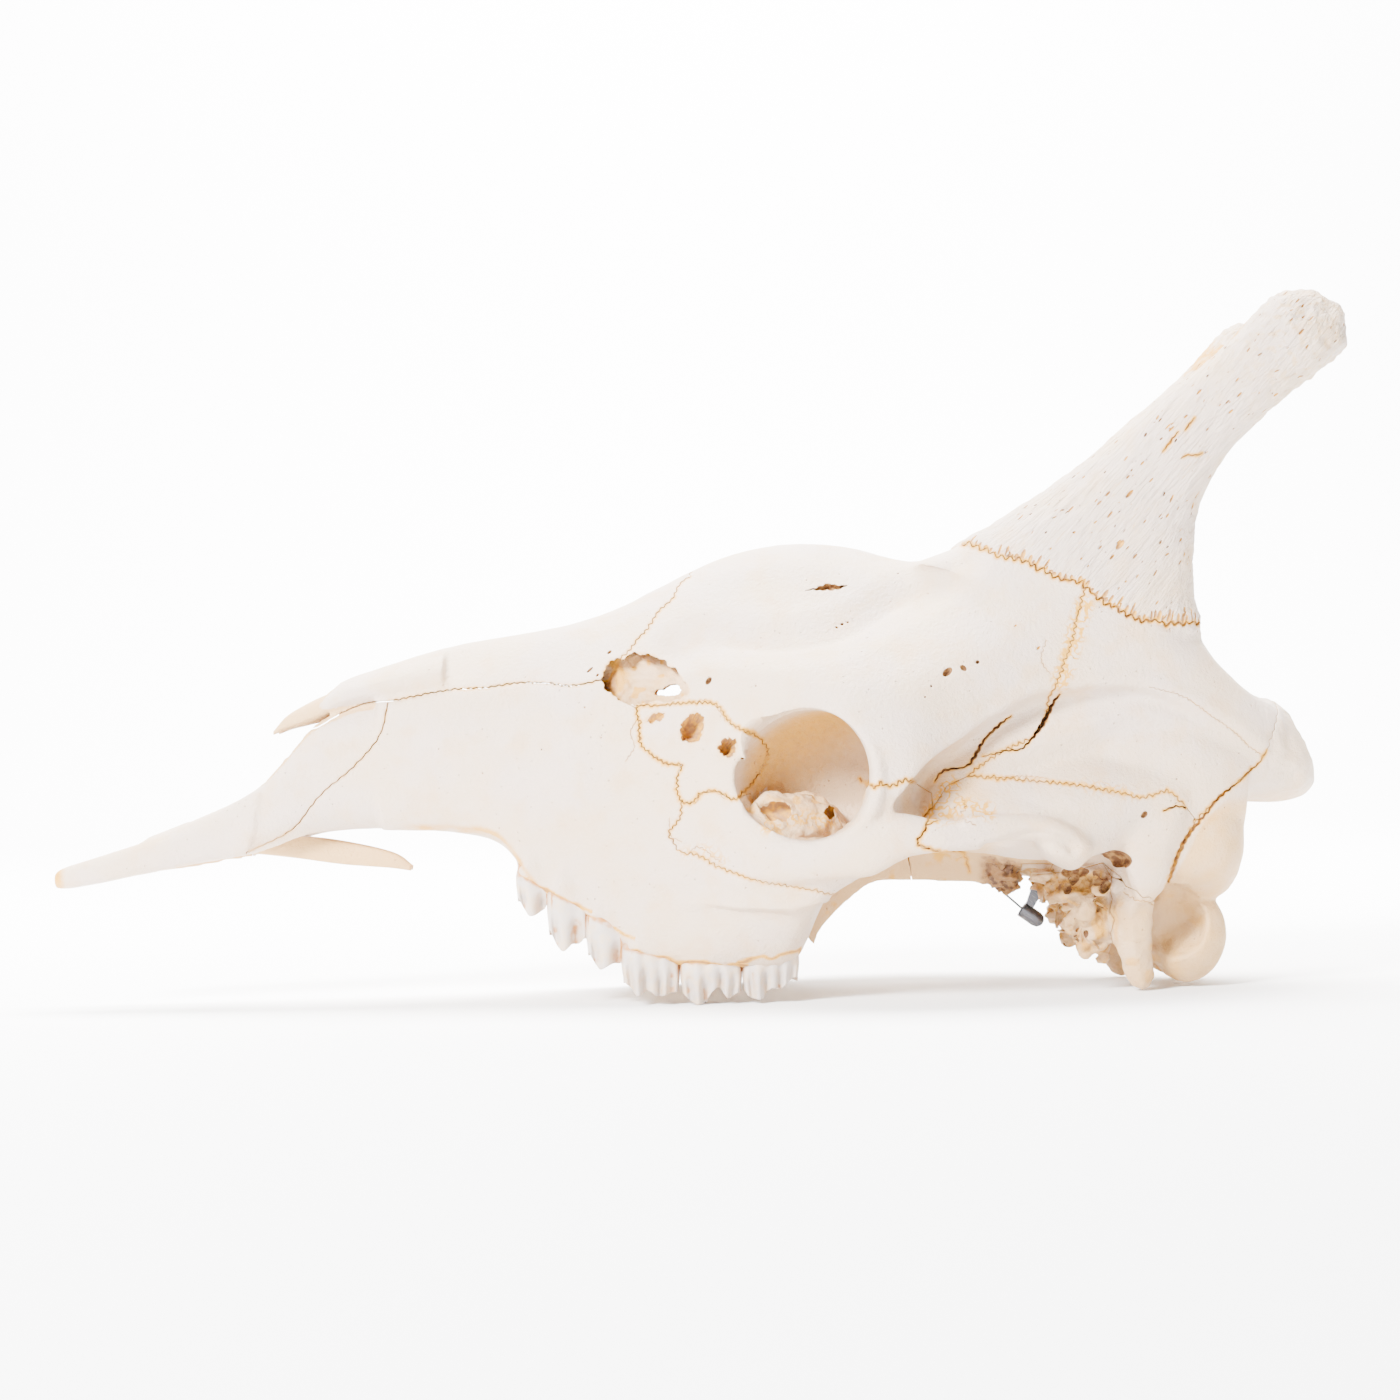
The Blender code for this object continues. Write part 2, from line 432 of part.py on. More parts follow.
def made_even(made, snap=0.1 * MM):
    """Keeps the left half of a closed mesh and adds its exact reflection, joined at the middle."""
    work = bmesh.new()
    work.from_mesh(made.data)
    bmesh.ops.bisect_plane(work, geom=[*work.verts, *work.edges, *work.faces], dist=snap,
                           plane_co=(0, 0, 0), plane_no=(0, 1, 0), clear_outer=True)
    middle = {vert for vert in work.verts if abs(vert.co.y) < 1.01 * snap}
    for vert in middle:
        vert.co.y = 0.0
    flat = [face for face in work.faces if all(vert in middle for vert in face.verts)]
    bmesh.ops.delete(work, geom=flat, context="FACES")
    loose = [vert for vert in work.verts if not vert.link_faces]
    bmesh.ops.delete(work, geom=loose, context="VERTS")
    copied = bmesh.ops.duplicate(work, geom=[*work.verts, *work.edges, *work.faces])["geom"]
    other = [item for item in copied if isinstance(item, bmesh.types.BMVert)]
    for vert in other:
        vert.co.y = -vert.co.y
    bmesh.ops.reverse_faces(work, faces=[item for item in copied if isinstance(item, bmesh.types.BMFace)])
    seam = [vert for vert in work.verts if vert.co.y == 0.0]
    bmesh.ops.remove_doubles(work, verts=seam, dist=1e-7)
    bmesh.ops.triangulate(work, faces=work.faces)
    work.to_mesh(made.data)
    work.free()
    return made


def twin(made, name):
    """The same bone on the other side of the head."""
    mesh = made.data.copy()
    work = bmesh.new()
    work.from_mesh(mesh)
    for vert in work.verts:
        vert.co.y = -vert.co.y
    bmesh.ops.reverse_faces(work, faces=work.faces)
    work.to_mesh(mesh)
    work.free()
    other = bpy.data.objects.new(name, mesh)
    bpy.context.scene.collection.objects.link(other)
    return other


def copy_of(made, name):
    other = bpy.data.objects.new(name, made.data.copy())
    bpy.context.scene.collection.objects.link(other)
    return other


def whole_skull():
    """All the bone in one closed surface, with its hollows cut and its joins blended."""
    skull = head_form(HEAD_LINES)
    combine(skull, [temple_hollow(side) for side in (-1, 1)], "DIFFERENCE")
    forms = [middle_form("muzzle", MUZZLE, power=3.0), middle_form("nasals", NASALS, power=2.0),
             middle_form("braincase", BRAINCASE), middle_form("crest", NECK_CREST, power=2.6),
             middle_form("base", SKULL_BASE), middle_form("rear", SKULL_REAR, power=2.6)]
    for name, rows in (("horn_core", HORN_CORE), ("snout", SNOUT_BAR), ("arch", CHEEK_ARCH),
                       ("jaw_joint", JAW_JOINT), ("spur", EAR_SPUR), ("process", NECK_PROCESS),
                       ("bulb", EAR_BULB), ("blade", THROAT_BLADE)):
        forms += both_sides(side_form, name, rows)
    knob = CONDYLE
    for side in (-1, 1):
        forms.append(eye_rim(side))
        forms.append(ball("condyle", (knob["x"], side * knob["w"], knob["z"]),
                          (knob["half_x"], knob["half_w"], knob["half_z"])))
    combine(skull, forms, "UNION")
    hollows = [middle_form("nose", NOSE_CAVITY, power=3.0), middle_form("throat", THROAT, power=3.0),
               middle_form("neck_hole", NECK_HOLE)]
    slot = PALATE_SLOT
    for side in (-1, 1):
        hollows.append(cup_form("eye_cup", EYE_CUP, side))
        hollows.append(prism("window", FACE_WINDOW, side * 40, side * OUTER))
        hollows.append(ball("hollow", (knob["hollow_x"], side * knob["hollow_w"], knob["hollow_z"]),
                            (knob["hollow"],) * 3))
        hollows.append(ball("slot", ((slot["first"] + slot["last"]) / 2, side * slot["w"], 88),
                            ((slot["last"] - slot["first"]) / 2, slot["half_w"], 30)))
        for x, z, half_x, half_z, depth in FACE_HOLES:
            hollows.append(cup_form("hole", [(depth - 24, x, z, half_x * 0.6, half_z * 0.6),
                                             (depth, x, z, half_x, half_z),
                                             (OUTER, x, z, half_x, half_z)], side, count=12, per_row=1))
    for hollow in hollows:
        combine(skull, [hollow], "DIFFERENCE")
    inside = both_sides(side_form, "eye_bulb", EYE_FLOOR_BULB)
    wall = [(x, 2.6, low - 4, high + 3) for x, _, low, high in NOSE_CAVITY if x > 225]
    inside.append(middle_form("nose_wall", wall, power=8))
    combine(skull, inside, "UNION")
    blend = skull.modifiers.new("blend", "REMESH")
    blend.mode = "VOXEL"
    blend.voxel_size = VOXEL * MM
    soften = skull.modifiers.new("soften", "SMOOTH")
    soften.factor = 0.5
    soften.iterations = BLEND_STEPS
    settle(skull)
    thin = skull.modifiers.new("thin", "DECIMATE")
    thin.ratio = KEPT_FACES / (2 * len(skull.data.polygons))
    largest(made_even(settle(skull)))
    return level(set_teeth(skull))


def tooth(first, last, gum_first, gum_last, outer, inner, tips):
    """A cheek tooth on the left: sections from its outer face to its tongue side.

    Each section has the tooth's outline from the side. The cusps reach down in the two rows
    and are raised in the valley between them.
    """
    length = last - first
    (tip_x, tip_z), (end_x, end_z) = tips[0], tips[-1]
    reach = length * (0.15 if len(tips) > 1 else 0.3)
    high, end_high = gum_first - tip_z, gum_last - end_z
    outline = [(first + 0.12 * length, gum_first + ROOT_DEPTH, 0), (first + 0.04 * length, gum_first, 0),
               (first, tip_z + 0.62 * high, 0.2), (first + 0.01 * length, tip_z + 0.24 * high, 0.6),
               (tip_x - reach, tip_z + 0.06 * high, 0.9), (tip_x, tip_z, 1)]
    if len(tips) > 1:
        notch_z = max(tip_z, end_z) + 0.2 * min(high, end_high)
        outline += [(tip_x + reach, tip_z + 0.14 * high, 0.9),
                    ((tip_x + end_x) / 2, notch_z, 0.7),
                    (end_x - 0.7 * reach, end_z + 0.12 * end_high, 0.9), (end_x, end_z, 1)]
    outline += [(end_x + reach, end_z + 0.09 * end_high, 0.9),
                (last, end_z + 0.22 * end_high, 0.6), (last, end_z + 0.66 * end_high, 0.2),
                (last - 0.04 * length, gum_last, 0), (last - 0.12 * length, gum_last + ROOT_DEPTH, 0)]
    x, z, share = np.array(outline).T
    middle = (first + last) / 2
    crown = (high + end_high) / 2
    return solid("tooth", [
        np.column_stack([middle + (x - middle) * size, np.full(len(x), -(outer + (inner - outer) * place)),
                         z + raised * crown * share])
        for place, raised, size in CROWN])


def set_teeth(skull):
    """Sets the cheek teeth of both sides into the upper jaws."""
    teeth = [tooth(*rows) for rows in TEETH.values()]
    return combine(skull, teeth + [twin(made, "tooth") for made in teeth], "UNION")


def level(made):
    """Cuts off what would reach below the table."""
    table = prism("table", [(-50, -30), (800, -30), (800, 0), (-50, 0)], -OUTER, OUTER)
    return combine(made, [table], "DIFFERENCE")


def turned(name, profile, start, heading, count=16):
    """A round form about an axis in the plane of y = start[1]: profile is (way along, radius)."""
    along = np.array((math.cos(heading), 0, math.sin(heading)))
    across = np.array((-math.sin(heading), 0, math.cos(heading)))
    c, s = circle(count)
    return solid(name, [np.array(start) + way * along + radius * (np.outer(c, across) + np.outer(s, (0, 1, 0)))
                        for way, radius in profile])


def hanger():
    """The steel cap and wire that hang under the skull base, as found on the skull."""
    cap_at, wire_at, y = CAP["mouth"], CAP["wire_top"], -CAP["w"]
    cap = turned("hanger_cap", CAP["profile"], (cap_at[0], y, cap_at[1]), CAP["heading"])
    tab = prism("tab", CAP["tab"], y - CAP["tab_width"] / 2, y + CAP["tab_width"] / 2)
    combine(cap, [tab], "UNION")
    end_x = cap_at[0] + CAP["wire_reach"] * math.cos(CAP["heading"])
    end_z = cap_at[1] + CAP["wire_reach"] * math.sin(CAP["heading"])
    length = math.hypot(end_x - wire_at[0], end_z - wire_at[1])
    heading = math.atan2(end_z - wire_at[1], end_x - wire_at[0])
    radius = CAP["wire"]
    wire = turned("hanger_wire", [(0, radius), (length, radius)], (wire_at[0], y, wire_at[1]), heading, 8)
    return largest(cap), wire


def finish(made, colour, roughness=0.6, metallic=0.0):
    """Gives a bone its own material and sets it over the middle of the skull's length."""
    material = bpy.data.materials.new(made.name)
    material.use_nodes = True
    shader = material.node_tree.nodes["Principled BSDF"]
    shader.inputs["Base Color"].default_value = (*colour, 1)
    shader.inputs["Roughness"].default_value = roughness
    shader.inputs["Metallic"].default_value = metallic
    made.data.materials.clear()
    made.data.materials.append(material)
    made.data.shade_smooth()
    made.data.set_sharp_from_angle(angle=math.radians(40))
    made.location.x = -MIDDLE_X * MM
    return made


def outlines():
    """The bones in the order they are parted: (name, side-view outline, inner w, outer w, slant).

    A bone with no inner w crosses the middle plane; the others come in pairs.
    """
    half = GAP / 2
    rear, low, top = 720, -20, 400
    return [
        ("horn_core", [*HORN_SUTURE, (720, 230), (720, top), (470, top)], 8, OUTER, 0.4),
        ("premaxilla", [(-20, 30), (106.5, 30), *SNOUT_SUTURE[:-1], *SNOUT_RIDGE, (100, 138), (-20, 130)],
         half, OUTER, 0),
        ("nasal", [(90, 136), (100, 138), *SNOUT_RIDGE[::-1], *NOSE_SUTURE[1:], *NOSE_ROOT[1:],
                   (349, 290), (90, 290)], half, OUTER, 0),
        ("lacrimal", TEAR_OUTLINE, 54, OUTER, 0),
        ("zygomatic", [*CHEEK_SUTURE[::-1], (344.4, 105.5), (350.2, 111), (358.5, 111.9), (366, 107.5),
                       (376, 110), (400, 114), *EYE_BAR_SUTURE, (470, 108), *ARCH_SUTURE, (450, 50)],
         63, OUTER, 0),
        ("temporal", [*TEMPLE_SUTURE, (609, 90.2), (600.8, 77.2), (595.3, 64.2), (589.6, 48.6),
                      (588, 40), (574, 40), (571, 60), (562, 68), (545, 64), (493, 60),
                      *ARCH_SUTURE[:-1][::-1], (478, 112)], 40, OUTER, 0),
        ("ear_bulb", [(520, 68), (562, 68), (566, 61), (566, 5), (520, 5)], 20, OUTER, 0),
        ("occipital", [*NECK_SUTURE, (577, 56), (566, 61), (556, 66), (545, 64), (545, low), (rear, low),
                       (rear, 172)], None, OUTER, 0),
        ("palatine", [(386, 8), (396, 14), (452, 40), (462, 60), (458, 90), (430, 90), (415, 84),
                      (396, 66), (386, 52)], half, 44, 0),
        ("sphenoid", [(452, 40), (545, low), (545, 64), (556, 66), (556, 80), (500, 88), (458, 90),
                      (462, 60)], None, 44, 0),
        ("parietal", [*CROWN_SUTURE, (470, 90), (500, 60), (rear, 60), (rear, 260), (552, 260)],
         None, OUTER, 0),
        ("maxilla", [(90, 20), *SNOUT_SUTURE, *NOSE_SUTURE[1:], (309, 160), (317.3, 156), (318.7, 148.5),
                     (319, 138), (325.6, 130.6), (333.3, 126.2), (340.6, 125.5), (337.8, 118.8),
                     *CHEEK_SUTURE[:1], (370, 106), (400, 98), (425, 90), (440, 86), (474, 85), (474, low),
                     (90, low)], half, OUTER, 0),
        ("frontal", [(-50, low), (rear, low), (rear, top), (-50, top)], half, OUTER, 0),
    ]


def region(outline, inner, outer, slant, side, inset=0.0):
    """The block that holds one bone, on one side or across the middle plane."""
    if inner is None:
        return prism("region", outline, -(outer - inset), outer - inset, inset=inset)
    near = inner + inset if inner > 1 else inner
    return prism("region", outline, side * near, side * (outer - inset), inset=inset, slant=slant,
                 level_z=240)


def part_bones(skull):
    """Cuts each bone out of the skull along its outline and lists them by name.

    What a bone leaves behind is cut a little larger than its outline, so that the next cut
    never runs along the same face.
    """
    bones = {}
    for name, outline, inner, outer, slant in outlines():
        bone = copy_of(skull, name)
        combine(bone, [region(outline, inner, outer, slant, -1, inset=GAP - PAST)], "INTERSECT")
        bones[name] = (largest(bone), inner is not None)
        if inner is None or inner < 1:
            combine(skull, [region(outline, None, outer, slant, 1, inset=-PAST)], "DIFFERENCE")
        else:
            for side in (-1, 1):
                combine(skull, [region(outline, inner, outer, slant, side, inset=-PAST)], "DIFFERENCE")
    bpy.data.objects.remove(skull)
    return bones


def build():
    for made in list(bpy.data.objects):
        bpy.data.objects.remove(made)
    bones = part_bones(whole_skull())
    combine(bones["premaxilla"][0], [side_form("rod", PALATE_ROD, count=10, per_row=2)], "UNION")
    combine(bones["nasal"][0], [side_form("tip", NASAL_TIP, count=10, per_row=2)], "UNION")
    for made in hanger():
        finish(made, DARK_STEEL, roughness=0.4, metallic=1.0)
    for name, (bone, paired) in bones.items():
        largest(bone)
        colour = STAINED if name in ("sphenoid", "ear_bulb") else BONE
        if not paired:
            finish(bone, colour)
            continue
        bone.name = name + "_left"
        finish(bone, colour)
        finish(twin(bone, name + "_right"), colour)


build()
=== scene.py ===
"""Giraffe skull without its lower jaw, life size: the finished surface of its bones and teeth.

Every size is in millimetres. A place is (x, w, z): x runs back from the tip of the snout, w is
the distance out from the middle plane and z is the height above the table. The left side is the
one at negative Y. The skull is modelled as one form on a fine grid, weathered, pitted and
cracked, and then parted along its sutures into the bones.
"""

import json
import math

import bmesh
import bpy
import numpy as np
from bpy.props import FloatProperty, FloatVectorProperty, IntProperty, PointerProperty
from mathutils import Matrix, Vector
from mathutils.bvhtree import BVHTree

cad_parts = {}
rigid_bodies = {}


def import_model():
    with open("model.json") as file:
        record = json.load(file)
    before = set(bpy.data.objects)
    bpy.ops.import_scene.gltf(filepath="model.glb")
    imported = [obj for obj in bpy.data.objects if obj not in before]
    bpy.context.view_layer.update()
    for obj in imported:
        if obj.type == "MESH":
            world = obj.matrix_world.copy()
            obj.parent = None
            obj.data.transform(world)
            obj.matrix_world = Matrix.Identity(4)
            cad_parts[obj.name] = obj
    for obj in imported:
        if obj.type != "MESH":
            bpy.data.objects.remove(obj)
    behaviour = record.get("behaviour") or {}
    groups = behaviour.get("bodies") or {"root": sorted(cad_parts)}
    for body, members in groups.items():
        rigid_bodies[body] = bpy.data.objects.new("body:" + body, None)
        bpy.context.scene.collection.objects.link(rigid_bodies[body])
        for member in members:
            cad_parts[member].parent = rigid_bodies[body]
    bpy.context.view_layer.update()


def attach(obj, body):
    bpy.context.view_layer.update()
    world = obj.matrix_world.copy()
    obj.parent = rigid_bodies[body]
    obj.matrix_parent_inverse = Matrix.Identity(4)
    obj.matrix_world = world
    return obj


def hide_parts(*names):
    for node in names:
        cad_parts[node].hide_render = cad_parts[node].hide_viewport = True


bl_info = {
    "name": "Giraffe Skull",
    "version": (1, 0, 0),
    "blender": (4, 5, 0),
    "location": "3D View > Sidebar > Skull",
    "description": "Builds a life-size giraffe skull, bone by bone, with its teeth and a studio stage",
    "category": "Add Mesh",
}

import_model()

MM = 0.001
MIDDLE_X = 346.7            # middle of the skull's length, where the frame's origin is
OUTER = 150.0               # past the widest point of the skull
BONE_FACE, AMBER_FACE, BROWN_FACE = 0, 1, 2     # what a face is finished as
SLANT_LEVEL = 240.0         # height at which a slanted cut lies at its given w
HORN_FOOT, HORN_TIP = (545.0, 215.0), (676.0, 352.0)    # ends of the left horn core as (x, z)
UP_THE_HORN = (0.69, 0.0, 0.72)

# Curves along the whole head: (x, w, z) of one line on the surface, from snout to neck.
ROOF_MIDDLE = [
    (178, 0, 180), (221, 0, 192), (254, 0, 197), (287, 0, 203), (309, 0, 210.6), (331, 0, 221),
    (352, 0, 231), (374, 0, 238.5), (405, 0, 242.5), (434, 0, 239.6), (450, 0, 235), (465, 0, 231),
    (500, 0, 230), (548, 0, 235), (586, 0, 230), (612, 0, 202), (625, 0, 178), (636, 0, 164),
    (649, 0, 155), (660, 0, 151.5)]
ROOF_SHOULDER = [
    (178, 16, 176), (221, 19, 187), (254, 22, 191.5), (287, 25, 197), (309, 27, 204), (331, 28, 214),
    (352, 29, 224), (374, 31, 230.5), (405, 33, 233), (434, 34, 229), (465, 38, 227), (482, 42, 233),
    (500, 46, 238), (522, 50, 242), (548, 52, 240), (586, 46, 222), (612, 38, 194), (625, 31, 174),
    (636, 28, 161), (649, 25, 153), (660, 22, 150)]
ROOF_EDGE = [
    (178, 30, 162), (221, 36, 168), (254, 39, 171.5), (287, 44, 174), (309, 48, 182), (331, 49, 194),
    (352, 50, 203), (374, 52, 209), (405, 55, 211), (434, 58, 208), (465, 64, 205), (500, 69, 208),
    (548, 73, 211), (586, 69, 200), (612, 58, 180), (628, 51, 166), (645, 45, 152), (660, 38, 144)]
BROW = [
    (178, 33, 148), (221, 39, 152), (254, 44, 154), (287, 51, 156), (309, 57, 160), (331, 64, 166),
    (352, 73, 171), (374, 86, 169), (405, 98, 167), (434, 105, 163), (458, 102, 162), (480, 94, 165),
    (505, 87, 169), (535, 79, 171), (570, 73, 169), (600, 67, 160), (625, 60, 146), (645, 53, 133),
    (660, 45, 126)]
CHEEK = [
    (178, 33, 122), (221, 41, 122), (254, 49, 118), (287, 58, 114), (309, 63, 116), (331, 70, 120),
    (352, 78, 121), (374, 90, 118), (405, 102, 116), (434, 110, 113), (458, 108, 112), (480, 92, 112),
    (505, 76, 116), (535, 66, 120), (570, 60, 120), (600, 58, 118), (625, 54, 116), (645, 48, 113),
    (660, 40, 111)]
JAW = [
    (178, 32, 103), (221, 38, 99), (254, 49, 86), (287, 58, 72), (309, 65, 62), (331, 72, 55),
    (352, 79, 52), (374, 86, 53), (405, 92, 59), (434, 96, 72), (458, 90, 82), (480, 70, 88),
    (505, 55, 92), (535, 50, 95), (570, 48, 96), (600, 46, 98), (625, 42, 100), (645, 38, 101),
    (660, 32, 102)]
GUM_OUTER = [
    (178, 25, 94), (221, 31, 92.5), (243, 38, 88), (251, 44, 79), (262, 50, 64), (287, 57, 50),
    (312, 63, 31), (337, 68, 23), (370, 71, 21.5), (399, 70, 26), (406, 67, 39), (413, 64, 55),
    (426, 60, 67), (445, 52, 75), (480, 40, 84), (505, 36, 88), (600, 32, 96), (660, 24, 100)]
GUM_INNER = [
    (178, 17, 94), (221, 22, 91), (244, 27, 84), (262, 35, 66), (287, 39, 52), (312, 43, 34),
    (337, 46, 25), (370, 47, 24), (400, 47, 28), (409, 45, 44), (422, 40, 64), (445, 34, 75),
    (480, 28, 84), (505, 24, 88), (600, 20, 96), (660, 16, 100)]
PALATE_MIDDLE = [
    (178, 0, 95), (221, 0, 94), (244, 0, 91), (262, 0, 85), (287, 0, 73), (312, 0, 57), (337, 0, 48),
    (370, 0, 44), (396, 0, 46), (409, 0, 60), (422, 0, 70), (445, 0, 76), (480, 0, 84), (505, 0, 88),
    (600, 0, 96), (660, 0, 100)]
HEAD_LINES = [ROOF_MIDDLE, ROOF_SHOULDER, ROOF_EDGE, BROW, CHEEK, JAW, GUM_OUTER, GUM_INNER,
              PALATE_MIDDLE]

# Ovals across the middle plane: (x, half width, lowest z, highest z).
MUZZLE = [
    (50, 24, 73, 92), (60, 25, 74, 95.5), (89, 26, 77.5, 107.5), (111, 27, 80.5, 120),
    (122, 28, 84.5, 131), (133, 28.5, 88.5, 145), (145, 29.5, 92, 158), (161, 31, 93.5, 164),
    (185, 34, 94, 166), (205, 37, 93, 168)]
NASALS = [(124, 9, 147, 152.5), (130, 15, 148, 158), (137, 19, 149, 162.5), (146, 24, 151, 167.5),
          (160, 29, 156, 175), (178, 31.5, 159, 180.5), (200, 34, 160, 187), (215, 36, 160, 191)]
BRAINCASE = [(436, 26, 76, 150), (470, 42, 68, 165), (500, 50, 63, 185), (540, 60, 58, 188),
             (575, 67, 56, 182), (602, 67, 58, 170), (622, 63, 64, 158), (638, 55, 78, 148)]
NECK_CREST = [(612, 60, 102, 162), (630, 57, 99, 157), (645, 51, 97, 153), (660, 43, 96.5, 151.5),
              (668, 39, 97.5, 142.5), (674.5, 32, 100, 130), (679.5, 19, 104, 120)]
SKULL_BASE = [
    (440, 15, 68, 90), (480, 20, 61, 90), (503, 23, 59, 90), (513, 24, 66, 90), (524, 25, 67, 90),
    (533, 25, 60, 90), (545, 26, 47, 90), (560, 27, 38, 88), (580, 27, 27, 84), (600, 25, 19, 76)]
SKULL_REAR = [(582, 60, 54, 118), (598, 64, 46, 120), (618, 62, 45, 118), (629, 56, 48, 112),
              (634.5, 49, 55, 106), (637.5, 41, 64, 98)]
NOSE_CAVITY = [
    (74, 15, 90, 150), (89, 17.5, 93, 170), (111, 20, 97, 175), (140, 22, 101, 176), (165, 24, 102, 170),
    (185, 26, 102, 173), (221, 30, 101, 183), (254, 36, 95, 189), (287, 42, 84, 194), (309, 46, 72, 198),
    (331, 47, 62, 200), (352, 44, 58, 196), (374, 30, 58, 180), (386, 18, 60, 150)]
THROAT = [(380, 12, 57, 90), (396, 15, 52, 86), (410, 16, 20, 80), (440, 15, 20, 72),
          (500, 12, 20, 64)]
NECK_HOLE = [(572, 12, 50, 68), (606, 17, 40, 76), (655, 19, 38, 80)]

# Ovals between two edges seen from the side: (x, z of one edge, x, z of the other, w, half w).
HORN_CORE = [
    (464, 229, 606, 172, 41, 32), (498.6, 243.8, 617, 184.8, 42, 32), (522.4, 257.8, 614, 200.7, 44, 31),
    (546.6, 272.2, 612.5, 224.3, 48, 27), (569.8, 288.6, 614, 247.8, 52, 22.5),
    (590.2, 306.4, 620.1, 265.8, 57, 19.5), (606, 318.2, 631.3, 283.5, 62, 17),
    (621.4, 331.4, 646.5, 298.6, 67, 17), (636.5, 345.5, 661.2, 311.8, 71, 18.5),
    (648, 357.5, 678, 323.8, 74, 20), (655, 362.8, 688.8, 331.4, 75, 17.5),
    (664.5, 364.6, 691.6, 343, 75.5, 13), (675, 363.8, 690.6, 352.6, 76, 7)]
SNOUT_BAR = [
    (0.6, 73.6, 1.6, 65.4, 11, 5), (6, 77, 6.5, 65.4, 12, 6.8), (26.3, 82.8, 26, 68.2, 15, 7),
    (59.4, 93.4, 58.9, 74, 18, 6.5), (92.5, 106.9, 91.8, 79.6, 21, 5.5),
    (114.5, 118.3, 108.3, 81.5, 24, 5)]
PALATE_ROD = [
    (50, 84, 50, 77, 12, 5), (75, 89, 76, 79.4, 7.5, 4), (100, 93, 101, 82, 6, 3),
    (125, 91.5, 127, 79.4, 5.2, 2.5), (154, 87.6, 155, 75, 5, 2), (182, 80.6, 181, 72.4, 5, 1.5),
    (193, 73, 192.5, 70.6, 5, 1)]
NASAL_TIP = [
    (163, 171, 163, 162, 15, 11), (148, 166, 148.5, 153.6, 14.5, 9.5), (136.8, 160.8, 136.8, 150.4, 14, 7),
    (127.8, 155.4, 128, 148.4, 13, 4), (120.8, 147.8, 120.8, 145.8, 12, 1.6)]
CHEEK_ARCH = [
    (372, 94, 372, 62, 84, 8), (400, 88, 402, 64, 94, 8), (430, 96, 434, 68, 103, 8),
    (452, 99, 454, 76, 106, 7.5), (470, 95.5, 471, 78.5, 106, 6.5), (490, 95, 490, 79, 103, 6),
    (505, 95, 506, 81, 99, 6.5), (518, 94.5, 520, 82.5, 93, 9), (532, 93, 535, 79, 84, 14),
    (548, 91, 550, 74, 70, 17), (562, 92, 562, 73, 60, 17)]
# The side wall that joins the arch to the braincase above the jaw joint.
SQUAMA = [
    (462, 104, 462, 84, 62, 6), (468, 115, 468, 80, 62, 19), (476, 119, 476, 78, 62, 23),
    (488, 120, 488, 76, 62, 26), (500, 121, 500, 75, 62, 27), (518, 119, 518, 72, 62, 30),
    (540, 125, 540, 71, 60, 31), (560, 127, 560, 71, 57, 29), (580, 127, 580, 74, 52, 26),
    (602, 124, 602, 82, 48, 22)]
JAW_JOINT = [(521, 87, 521, 82, 78, 14), (529, 86, 530, 71.5, 77, 20), (541, 86, 542, 66, 73, 22),
             (551, 84, 552, 73, 69, 18)]
EAR_SPUR = [(561, 105, 606, 100, 62, 12), (566, 86, 603, 84, 63, 11), (569, 75.4, 597.8, 74.8, 62, 10),
            (572.8, 59.6, 593.8, 59.1, 60, 7), (577.3, 47.5, 588.4, 47.2, 58, 4)]
NECK_PROCESS = [
    (566, 76, 604, 74, 48, 13), (565.9, 59.1, 594.9, 58.5, 48, 10), (564.4, 40.7, 590.3, 40.1, 47, 8),
    (565.6, 24.8, 588.9, 24.3, 45.5, 6.5), (569.1, 14.2, 588.1, 13.7, 44.5, 5.2),
    (572.6, 6.1, 586.8, 5.4, 44, 4), (574.4, 2.2, 585.4, 1.9, 44, 3)]
EAR_BULB = [(533, 68, 568, 66, 35, 11), (534.5, 56, 569, 52, 36, 13), (544, 42, 569, 38, 37, 12),
            (549, 31, 567, 26, 37, 9.5), (552, 22, 564, 19.5, 37, 5)]
THROAT_BLADE = [
    (399, 40, 409, 25, 23, 2.6), (402, 56, 413.5, 35.5, 22, 2.8), (417, 74, 428, 49.8, 20.5, 3),
    (440, 84, 447, 59.6, 19.5, 3.2), (470, 86, 477, 58.6, 19, 3.8), (497, 84, 500, 57, 19, 5),
    (513, 80, 515.5, 53, 20, 6.5), (519.5, 77, 519, 60, 20, 5)]
EYE_FLOOR_BULB = [(374, 100, 386, 80, 72, 9), (384, 108, 393, 80, 69, 11), (398, 110, 403, 80, 64, 12),
                  (413, 106, 416, 82, 58, 11), (426, 96, 427, 84, 54, 8)]
TEAR_KNOB = ((376, 85, 133.5), (6.5, 5.5, 7.5))

# Lumps of the broken ear bone: (x, w, z) and half sizes.
EAR_LUMPS = [
    ((530, 40, 61.5), (6, 8, 3.5)), ((542, 46, 54), (8, 7, 6)), ((552, 45, 45), (7, 7, 8)),
    ((545, 42, 37), (5, 6, 6)), ((557, 43, 32), (6, 6, 8)), ((552, 41, 23), (4, 5, 5)),
    ((560, 50, 56), (6, 6, 4)), ((537, 38, 50), (5, 6, 4))]

